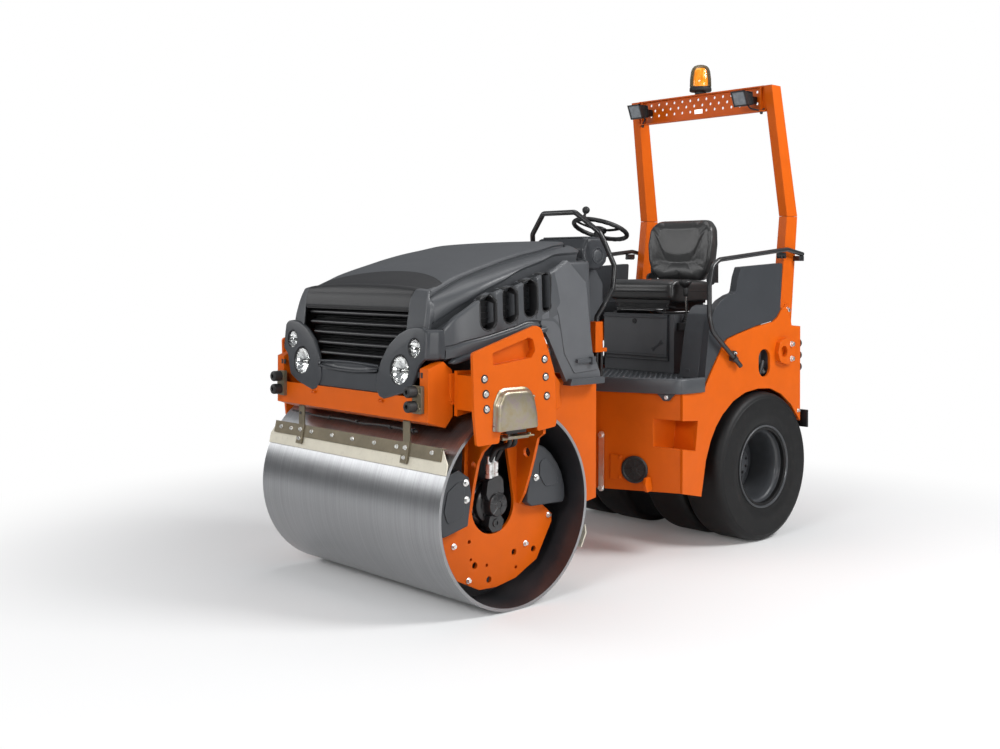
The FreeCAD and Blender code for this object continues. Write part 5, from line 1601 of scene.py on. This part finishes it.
def build_steering_wheel():
    bm = bmesh.new()
    n = Vector((-math.sin(0.357), 0, math.cos(0.357))).normalized()
    wc = P(-1292, 0, 1741)
    ux = Vector((math.cos(0.357), 0, math.sin(0.357)))
    uy = Vector((0, 1, 0))

    def W(r, a, h=0.0):
        return wc + (ux * math.cos(a) + uy * math.sin(a)) * (r / 1000.0) + n * (h / 1000.0)
    # rim with finger scallops on its lower side
    N = 72
    rows = []
    for k in range(N):
        a = 2 * math.pi * k / N
        c = W(152, a)
        rad = (ux * math.cos(a) + uy * math.sin(a))
        row = []
        for j in range(12):
            b = 2 * math.pi * j / 12
            rr = 13.0 - (1.2 if math.sin(b) < -0.3 and k % 3 == 0 else 0)
            row.append(bm.verts.new(c + (rad * math.cos(b) + n * math.sin(b)) * (rr / 1000.0)))
        rows.append(row)
    for i in range(N):
        a_, b_ = rows[i], rows[(i + 1) % N]
        for j in range(12):
            bm.faces.new((a_[j], b_[j], b_[(j + 1) % 12], a_[(j + 1) % 12]))
    # hub
    lathe_into(bm, wc, n, [(0, -18), (30, -18), (36, -12), (38, 0), (36, 6), (28, 9), (0, 10)], 36)
    # flat spokes
    for ang in (90, 210, 330):
        a = math.radians(ang)
        d = (ux * math.cos(a) + uy * math.sin(a))
        e = n.cross(d)
        secs = []
        for r, w, t, h in ((22, 20, 6, -4), (60, 15, 5, -8), (110, 13, 5, -6), (146, 15, 6, 0)):
            c = wc + d * (r / 1000.0) + n * (h / 1000.0)
            secs.append([c + e * (w / 1000.0 * math.cos(b)) + n * (t / 1000.0 * math.sin(b)) for b in [2 * math.pi * j / 12 for j in range(12)]])
        loft_into(bm, secs)
    # spinner knob
    c = W(146, 0)
    lathe_into(bm, c, n, [(0, 8), (9, 8), (9, 22), (7, 28), (8, 34), (17, 42), (21, 52), (21, 60), (17, 68), (9, 74), (0, 76)], 32)
    ob = finish_mesh("steering_wheel_rim", mesh_from(bm), "black", "steering_wheel", smooth=45)
    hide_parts("steering_wheel")


def build_rops():
    bm, bz, bl = bmesh.new(), bmesh.new(), bmesh.new()
    # clamp blocks of the grab rails, bolts on the joint plates
    for s in (1, -1):
        box_into(bm, -2240, -2170, s * 566, s * 586, 1590, 1618)
        box_into(bm, -2396, -2350, s * 560, s * 604, 1570, 1600)
        tube_into(bm, [(-2372, s * 560, 1586), (-2372, s * 600, 1586)], 11, 1, 12)
        for x in (-2222, -2186):
            tube_into(bm, [(x, s * 562, 1592), (x, s * 594, 1592)], 9, 1, 12)
        ring_into(bm, P(-1680, s * 634, 1033), (0.78, 0, 0.62), [(13.2, -12), (19, -12), (19, 12), (13.2, 12)], 24)
        box_into(bm, -1712, -1660, s * 611, s * 624, 1020, 1074)
        hexbolt_into(bz, P(-1700, s * 624, 1060), (0, s, 0), 14, 8, 10, 1.6)
    finish_mesh("rail_clamps", mesh_from(bm), "bsteel", "rear_frame", smooth=35, bevel=1.6)
    # work lamps: ribbed housing, frame, lens
    bh, bf, blens = bmesh.new(), bmesh.new(), bmesh.new()

    def lens_x(z):
        return -2043 + (z - 2507) * 0.415
    for s in (1, -1):
        sec = []
        for t_, y0, y1, z0, z1 in ((0.0, 362, 430, 2488, 2538), (0.12, 356, 436, 2482, 2544), (0.5, 352, 440, 2474, 2548), (0.86, 350, 442, 2467, 2548), (1.0, 348, 444, 2465, 2549)):
            lo = [(y0 + 7, z0), (y1 - 7, z0), (y1, z0 + 7), (y1, z1 - 7), (y1 - 7, z1), (y0 + 7, z1), (y0, z1 - 7), (y0, z0 + 7)]
            sec.append([P(-2130 + (lens_x(z) - 6 + 2130) * t_, s * y, z) for y, z in lo])
        loft_into(bh, sec)
        for k in range(4):
            t_ = 0.2 + 0.15 * k
            lo = [(349, 2474), (443, 2474), (443, 2551), (349, 2551)]
            prism_into(bh, [P(-2130 + (lens_x(z) - 6 + 2130) * t_, s * y, z) for y, z in lo], Vector((0.004, 0, 0)))
        for a, b, c, d in ((347, 445, 2464, 2472), (347, 445, 2542, 2550), (347, 355, 2464, 2550), (437, 445, 2464, 2550)):
            prism_into(bf, [P(lens_x(z) - 8, s * y, z) for y, z in ((a, c), (b, c), (b, d), (a, d))], Vector((0.013, 0, 0)))
        prism_into(blens, [P(lens_x(z) - 4, s * y, z) for y, z in ((353, 2470), (439, 2470), (439, 2544), (353, 2544))], Vector((0.004, 0, 0)))
        tube_into(bl, [(-2126, s * 396, 2492), (-2140, s * 396, 2462), (-2160, s * 430, 2452), (-2180, s * 446, 2446), (-2188, s * 470, 2456)], 5, 18, 10)
        box_into(bh, -2191.7, -2124, s * 376, s * 416, 2490, 2530)
    ob = finish_mesh("lamp_housings", mesh_from(bh), "black", "rear_frame", smooth=30, bevel=1.5)
    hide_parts("work_lamps")
    finish_mesh("lamp_frames", mesh_from(bf), "bsteel", "rear_frame", smooth=30, bevel=1.5)
    finish_mesh("work_lamp_lenses", mesh_from(blens), "lens_grey", "rear_frame", smooth=30)
    # label plate, rubber plugs and the lamp cables
    box_into(bz, -2192.2, -2190, -44, 16, 2474, 2500)
    finish_mesh("bar_plate_and_bolts", mesh_from(bz), "zinc", "rear_frame", smooth=30, bevel=0.0)
    finish_mesh("lamp_cables", mesh_from(bl), "rubber", "rear_frame", smooth=40)
    bm = bmesh.new()
    for s in (1, -1):
        # plugs under the bar's ends
        lathe_into(bm, P(-2182, s * 452, 2440), (0, 0, -1), [(0, 0), (9, 0), (9, 8), (6, 14), (0, 14)], 20)
    finish_mesh("bar_plugs", mesh_from(bm), "rubber", "rear_frame", smooth=40)
    # beacon
    o = P(-2192, 0, 2590.3)
    b1, b2, b3 = bmesh.new(), bmesh.new(), bmesh.new()
    lathe_into(b1, o, (0, 0, 1), [(0, 0), (34, 0), (34, 12), (40, 16), (64, 17), (66, 20), (66, 38), (63, 42), (58, 44), (0, 44)], 48)
    for k in range(24):
        a = 2 * math.pi * k / 24
        tube_into(b1, [(-2192 + 66 * math.cos(a), 66 * math.sin(a), 2611), (-2192 + 65 * math.cos(a), 65 * math.sin(a), 2627)], 1.6, 1, 6)
    ob = finish_mesh("beacon_base", mesh_from(b1), "black", "rear_frame", smooth=35)
    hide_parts("beacon")
    n = 48
    mt = axis_matrix(o, (0, 0, 1))

    def ribbed(bmx, prof, amp):
        rws = []
        for r, h in prof:
            if r < 0.01:
                rws.append([bmx.verts.new(mt @ Vector((0, 0, h / 1000)))])
                continue
            rw = []
            for k in range(n):
                a = 2 * math.pi * k / n
                q = r * (1 + amp * (1 if k % 4 < 2 else -1))
                rw.append(bmx.verts.new(mt @ Vector((q * math.cos(a) / 1000, q * math.sin(a) / 1000, h / 1000))))
            rws.append(rw)
        for a_, b_ in zip(rws, rws[1:]):
            for k in range(n):
                k2 = (k + 1) % n
                if len(b_) == 1:
                    bmx.faces.new((a_[k], a_[k2], b_[0]))
                elif len(a_) == 1:
                    bmx.faces.new((a_[0], b_[k2], b_[k]))
                else:
                    bmx.faces.new((a_[k], a_[k2], b_[k2], b_[k]))
    ribbed(b2, [(0, 45), (42, 45), (44, 52), (42, 100), (36, 146), (26, 158), (0, 161)], 0.02)
    finish_mesh("beacon_lens", mesh_from(b2), "amber", "rear_frame", smooth=30)
    ribbed(b3, [(62, 42), (64.5, 48), (63.5, 92), (58, 138), (51, 158), (40, 171), (22, 177.5), (0, 179)], 0.008)
    ob = finish_mesh("beacon_dome", mesh_from(b3), "smoke", "rear_frame", smooth=40)
    solidify(ob, 2.0, -1.0)


def cushion(name, node, pts, y0, y1, dome, seams):
    """A padded piece: rounded body with stitched seams, softly inflated."""
    if pts is None:
        return backrest(name, node, dome, seams)
    bm = bmesh.new()
    ol = rounded(pts, 26, 5)
    ys = [y0, y0 + 3, y0 + 12, y0 + 30]
    mid = [y0 + 30 + (y1 - y0 - 60) * k / 12.0 for k in range(1, 12)]
    ys = ys + mid + [y1 - 30, y1 - 12, y1 - 3, y1]
    cx = sum(p[0] for p in ol) / len(ol)
    cz = sum(p[1] for p in ol) / len(ol)
    rows = []
    for y in ys:
        e = min(y - y0, y1 - y)
        k = min(1.0, e / 30.0)
        sc = 0.86 + 0.14 * math.sqrt(max(0.0, 1 - (1 - k) ** 2))
        rows.append([P(cx + (x - cx) * sc, y, cz + (z - cz) * sc) for x, z in ol])
    loft_into(bm, rows)
    return puff(name, node, bm, dome, seams)


def backrest(name, node, dome, seams):
    """Shell-shaped back: round shoulders, narrow foot, a little wrap at the sides."""
    out = rounded([(-158, 1452), (-208, 1500), (-234, 1573), (-243, 1667), (-232, 1765), (-186, 1812), (186, 1812), (232, 1765), (243, 1667),
                   (234, 1573), (208, 1500), (158, 1452)], [30, 60, 90, 90, 60, 50, 50, 60, 90, 90, 60, 30], 5)
    cy, cz = 0.0, 1636.0
    bm = bmesh.new()
    rows = []
    for x, sc in ((-2074, 0.70), (-2078, 0.84), (-2074, 0.94), (-2062, 0.985), (-2045, 1.0), (-2026, 1.0), (-2010, 0.985), (-2000, 0.95), (-1996, 0.90), (-1994.5, 0.84), (-1994, 0.76), (-1994, 0.66), (-1994, 0.54), (-1994, 0.42), (-1994, 0.30), (-1994, 0.18), (-1994, 0.07)):
        row = []
        for y, z in out:
            yy = cy + (y - cy) * sc
            zz = cz + (z - cz) * sc
            wrap = 26.0 * (abs(yy) / 240.0) ** 3 if x > -2060 else 14.0 * (abs(yy) / 240.0) ** 3
            lean_ = -0.07 * (zz - 1520.0)
            row.append(P(x + wrap + lean_ + 8, yy, zz))
        rows.append(row)
    loft_into(bm, rows)
    return puff(name, node, bm, dome, seams)


def puff(name, node, bm, dome, seams):
    """Cloth under light pressure between its seams."""
    me = mesh_from(bm)
    ob = bpy.data.objects.new(name, me)
    bpy.context.scene.collection.objects.link(ob)
    rest = None
    rm = ob.modifiers.new("rm", "REMESH")
    rm.mode = "VOXEL"
    rm.voxel_size = 0.0085
    apply_mods(ob)
    me = ob.data
    rest = [v.co.copy() for v in me.vertices]
    vg = ob.vertex_groups.new(name="pin")
    pinned = []
    for v in me.vertices:
        y = v.co.y * 1000.0
        hit = any(abs(f(v.co)) < 0.0042 for f in seams)
        if hit:
            pinned.append(v.index)
    # the underside and back rest on the frame
    if node == "seat_cushion":
        pinned += [v.index for v in me.vertices if v.co.z < 1.352]
    else:
        pinned += [v.index for v in me.vertices if v.co.x < (-2050 + OX) / 1000.0]
    vg.add(sorted(set(pinned)), 1.0, "REPLACE")
    cl = ob.modifiers.new("cl", "CLOTH")
    cs = cl.settings
    cs.quality = 6
    cs.mass = 0.3
    cs.tension_stiffness = 18
    cs.compression_stiffness = 18
    cs.shear_stiffness = 8
    cs.bending_stiffness = 1.2
    cs.use_pressure = True
    cs.uniform_pressure_force = 4.0
    cs.vertex_group_mass = "pin"
    cs.effector_weights.gravity = 0.0
    sc_ = bpy.context.scene
    cl.point_cache.frame_start = 1
    cl.point_cache.frame_end = 20
    for f in range(1, 21):
        sc_.frame_set(f)
    apply_mods(ob)
    sc_.frame_set(1)
    me = ob.data
    for v, r in zip(me.vertices, rest):
        d = v.co - r
        if d.length > dome:
            v.co = r + d.normalized() * dome
    me = ob.data
    me.materials.clear()
    me.materials.append(M["vinyl"])
    me.shade_smooth()
    sb = ob.modifiers.new("sub", "SUBSURF")
    sb.levels = 1
    sb.render_levels = 1
    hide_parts(node)
    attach(ob, "rear_frame")
    return ob


def build_seat():
    cpts = [(-1624, 1352), (-1624, 1436), (-1664, 1460), (-1800, 1453), (-1960, 1450), (-1998, 1440), (-1998, 1338), (-1690, 1326)]
    inset = 0.185
    cushion("cushion_pad", "seat_cushion", cpts, -240, 240, 0.010,
            [lambda c: (abs(c.y) - inset) if c.z > 1.42 else 1.0,
             lambda c: (c.x - (-1690 + OX) / 1000.0) if c.z > 1.42 and abs(c.y) < inset else 1.0,
             lambda c: (c.z - 1.410) if c.x > (-1660 + OX) / 1000.0 or abs(c.y) > 0.225 else 1.0])
    cushion("backrest_pad", "seat_backrest", None, -240, 240, 0.010,
            [lambda c: (abs(c.y) - 0.205) if c.x > (-2030 + OX) / 1000.0 else 1.0,
             lambda c: (c.z - 1.56 - 0.10 * (c.y / 0.2) ** 2 * 0.3) if c.x > (-2030 + OX) / 1000.0 and abs(c.y) < 0.205 else 1.0])
    # piping round the cushion, backrest hinge covers
    bm = bmesh.new()
    pp = []
    for x, y in rounded([(-1620, -236), (-1620, 236), (-1990, 238), (-1990, -238)], [60, 60, 20, 20], 6):
        pp.append((x, y, 1392))
    tube_into(bm, pp, 4.5, 10, 8, closed=True)
    for s in (1, -1):
        lathe_into(bm, P(-2000, s * 222, 1462), (0, s, 0), [(0, 0), (34, 0), (36, 4), (34, 16), (24, 20), (0, 20)], 28)
        box_into(bm, -2060, -2010, s * 226, s * 238, 1440, 1560)
    box_into(bm, -1980, -1650, -205, 205, 1322, 1345)
    finish_mesh("seat_trim", mesh_from(bm), "black", "rear_frame", smooth=40)
    # cable bundle down the side of the console foot
    bm = bmesh.new()
    for k, (x, y) in enumerate(((-1046, 164), (-1072, 170), (-1098, 164), (-1058, 190), (-1086, 194), (-1070, 212))):
        tube_into(bm, [(x, y, 940), (x + 4, y + 3, 1000), (x - 3, y - 2, 1070), (x - 12, y - 14, 1150), (x - 22, 140, 1235)], 13 if k < 5 else 10, 24, 12)
    finish_mesh("console_cables", mesh_from(bm), "rubber", "rear_frame", smooth=40)


# ---------------------------------------------------------------- materials on the CAD pieces
SLOT_MAT = {"orange_paint": "orange", "grey_plastic": "grey", "black_plastic": "black", "drum_steel": "drum", "zinc": "chromate",
            "tyre": "tyre", "rubber": "rubber", "rim_paint": "rim", "scraper_plastic": "blade", "seat_vinyl": "vinyl",
            "black_steel": "bsteel", "lamp_glass": "glass", "beacon_amber": "amber", "engine_metal": "engine"}
# seat_box and rear_body take the lighter grey copy and side_covers the lightest copy: painted light
OWN = {"front_scraper_bar": "khaki", "platform_floor": "floor", "console_hoop": "bsteel", "grab_rails": "bsteel", "rear_scraper_blade": "blade",
       "side_covers": "grey_cover_painted_lit", "seat_box": "grey_painted_lit", "rear_body": "grey_painted_lit"}
slots = {}
for part in frame["record"].get("subparts", []):
    slots[part["node"]] = part.get("material_slot")
for n, ob in NODES.items():
    key = OWN.get(n) or SLOT_MAT.get(slots.get(n, ""), None)
    if key is None:
        key = "grey"
    ob.data.materials.clear()
    ob.data.materials.append(M[key])

build_hood()
build_pods()
build_grille()
build_hood_panels()
build_hood_strip()
build_wheels()
build_front()
build_rear()
build_platform()
build_covers()
build_console()
build_steering_wheel()
build_rops()
build_seat()

# ---------------------------------------------------------------- floor, light, camera
bm = bmesh.new()
n = 60
R0 = 60.0
vs = [[bm.verts.new((-R0 + 2 * R0 * i / 12, -R0 + 2 * R0 * j / 12, 0.0)) for j in range(13)] for i in range(13)]
for i in range(12):
    for j in range(12):
        bm.faces.new((vs[i][j], vs[i + 1][j], vs[i + 1][j + 1], vs[i][j + 1]))
gme = bpy.data.meshes.new("ground")
bm.to_mesh(gme)
bm.free()
ground = bpy.data.objects.new("ground", gme)
bpy.context.scene.collection.objects.link(ground)
gm, gnt, gb = new_mat("pale_floor")
gb.inputs["Base Color"].default_value = (0.76, 0.76, 0.76, 1)
gb.inputs["Roughness"].default_value = 0.8
gb.inputs["Specular IOR Level"].default_value = 0.1
gc = add(gnt, "ShaderNodeTexCoord")
gl_ = add(gnt, "ShaderNodeVectorMath", operation="LENGTH")
link(gnt, gc.outputs["Object"], gl_.inputs[0])
gr = add(gnt, "ShaderNodeMapRange")
gr.interpolation_type = "SMOOTHSTEP"
gr.inputs["From Min"].default_value = 1.65
gr.inputs["From Max"].default_value = 3.9
link(gnt, gl_.outputs["Value"], gr.inputs["Value"])
ge = add(gnt, "ShaderNodeEmission")
ge.inputs["Color"].default_value = (1, 1, 1, 1)
ge.inputs["Strength"].default_value = 1.0
ge2 = add(gnt, "ShaderNodeEmission")
ge2.inputs["Color"].default_value = (1, 1, 1, 1)
ge2.inputs["Strength"].default_value = 0.06
gad = add(gnt, "ShaderNodeAddShader")
link(gnt, gb.outputs[0], gad.inputs[0])
link(gnt, ge2.outputs[0], gad.inputs[1])
gmx = add(gnt, "ShaderNodeMixShader")
link(gnt, gr.outputs["Result"], gmx.inputs[0])
link(gnt, gad.outputs[0], gmx.inputs[1])
link(gnt, ge.outputs[0], gmx.inputs[2])
glp = add(gnt, "ShaderNodeLightPath")
gmc = add(gnt, "ShaderNodeMixShader")
link(gnt, glp.outputs["Is Camera Ray"], gmc.inputs[0])
link(gnt, gb.outputs[0], gmc.inputs[1])
link(gnt, gmx.outputs[0], gmc.inputs[2])
link(gnt, gmc.outputs[0], gnt.nodes["Material Output"].inputs["Surface"])
gme.materials.append(gm)

world = bpy.data.worlds.new("studio")
bpy.context.scene.world = world
world.use_nodes = True
wn = world.node_tree
bg = wn.nodes["Background"]
bg.inputs["Color"].default_value = (1.0, 1.0, 1.0, 1)
bg.inputs["Strength"].default_value = 1.0
bg2 = wn.nodes.new("ShaderNodeBackground")
bg2.inputs["Color"].default_value = (0.92, 0.95, 1.0, 1)
wc = wn.nodes.new("ShaderNodeTexCoord")
ws = wn.nodes.new("ShaderNodeSeparateXYZ")
wr = wn.nodes.new("ShaderNodeMapRange")
wr.interpolation_type = "SMOOTHSTEP"
wr.inputs["From Min"].default_value = 0.0
wr.inputs["From Max"].default_value = 0.45
wr.inputs["To Min"].default_value = 0.07
wr.inputs["To Max"].default_value = 0.27
wn.links.new(wc.outputs["Generated"], ws.inputs[0])
wn.links.new(ws.outputs["Z"], wr.inputs["Value"])
wn.links.new(wr.outputs["Result"], bg2.inputs["Strength"])
lp = wn.nodes.new("ShaderNodeLightPath")
wm = wn.nodes.new("ShaderNodeMixShader")
wn.links.new(lp.outputs["Is Camera Ray"], wm.inputs[0])
wn.links.new(bg2.outputs[0], wm.inputs[1])
wn.links.new(bg.outputs[0], wm.inputs[2])
wn.links.new(wm.outputs[0], wn.nodes["World Output"].inputs["Surface"])


def area(name, loc, target, size, size_y, power, col=(1, 1, 1)):
    ld = bpy.data.lights.new(name, "AREA")
    ld.shape = "RECTANGLE"
    ld.size = size
    ld.size_y = size_y
    ld.energy = power
    ld.color = col
    ob = bpy.data.objects.new(name, ld)
    bpy.context.scene.collection.objects.link(ob)
    ob.location = loc
    d = Vector(target) - Vector(loc)
    ob.rotation_euler = d.to_track_quat("-Z", "Y").to_euler()
    return ob


area("key", (-2.4, 5.0, 5.2), (-0.2, 0.2, 0.7), 2.6, 2.2, 375)
area("side", (0.8, 6.9, 1.9), (0.0, 0.3, 0.9), 3.0, 1.5, 105)
area("top", (0.2, -0.6, 6.0), (0, 0, 0.5), 4.0, 3.0, 75)
area("front", (6.0, 2.2, 3.2), (1.0, 0, 0.8), 2.2, 1.4, 160)
area("sheen", (4.2, -4.2, 2.9), (0.9, 0, 0.5), 3.4, 2.2, 75)

cam_d = bpy.data.cameras.new("camera")
cam = bpy.data.objects.new("camera", cam_d)
bpy.context.scene.collection.objects.link(cam)
cam_d.sensor_width = 36.0
cam_d.sensor_fit = "HORIZONTAL"
cam_d.lens = 42.79
cam_d.shift_x = -0.01079
cam_d.shift_y = -0.10145
cam_d.clip_end = 200
yaw = math.radians(-133.151)
look = Vector((math.cos(yaw), math.sin(yaw), 0))
q = look.to_track_quat("-Z", "Y")
roll = Matrix.Rotation(math.radians(-0.166), 4, look)
mw = roll @ q.to_matrix().to_4x4()
mw.translation = Vector((4.5778, 4.5135, 1.4943))
cam.matrix_world = mw
bpy.context.scene.camera = cam
bpy.context.scene.view_settings.view_transform = "Standard"
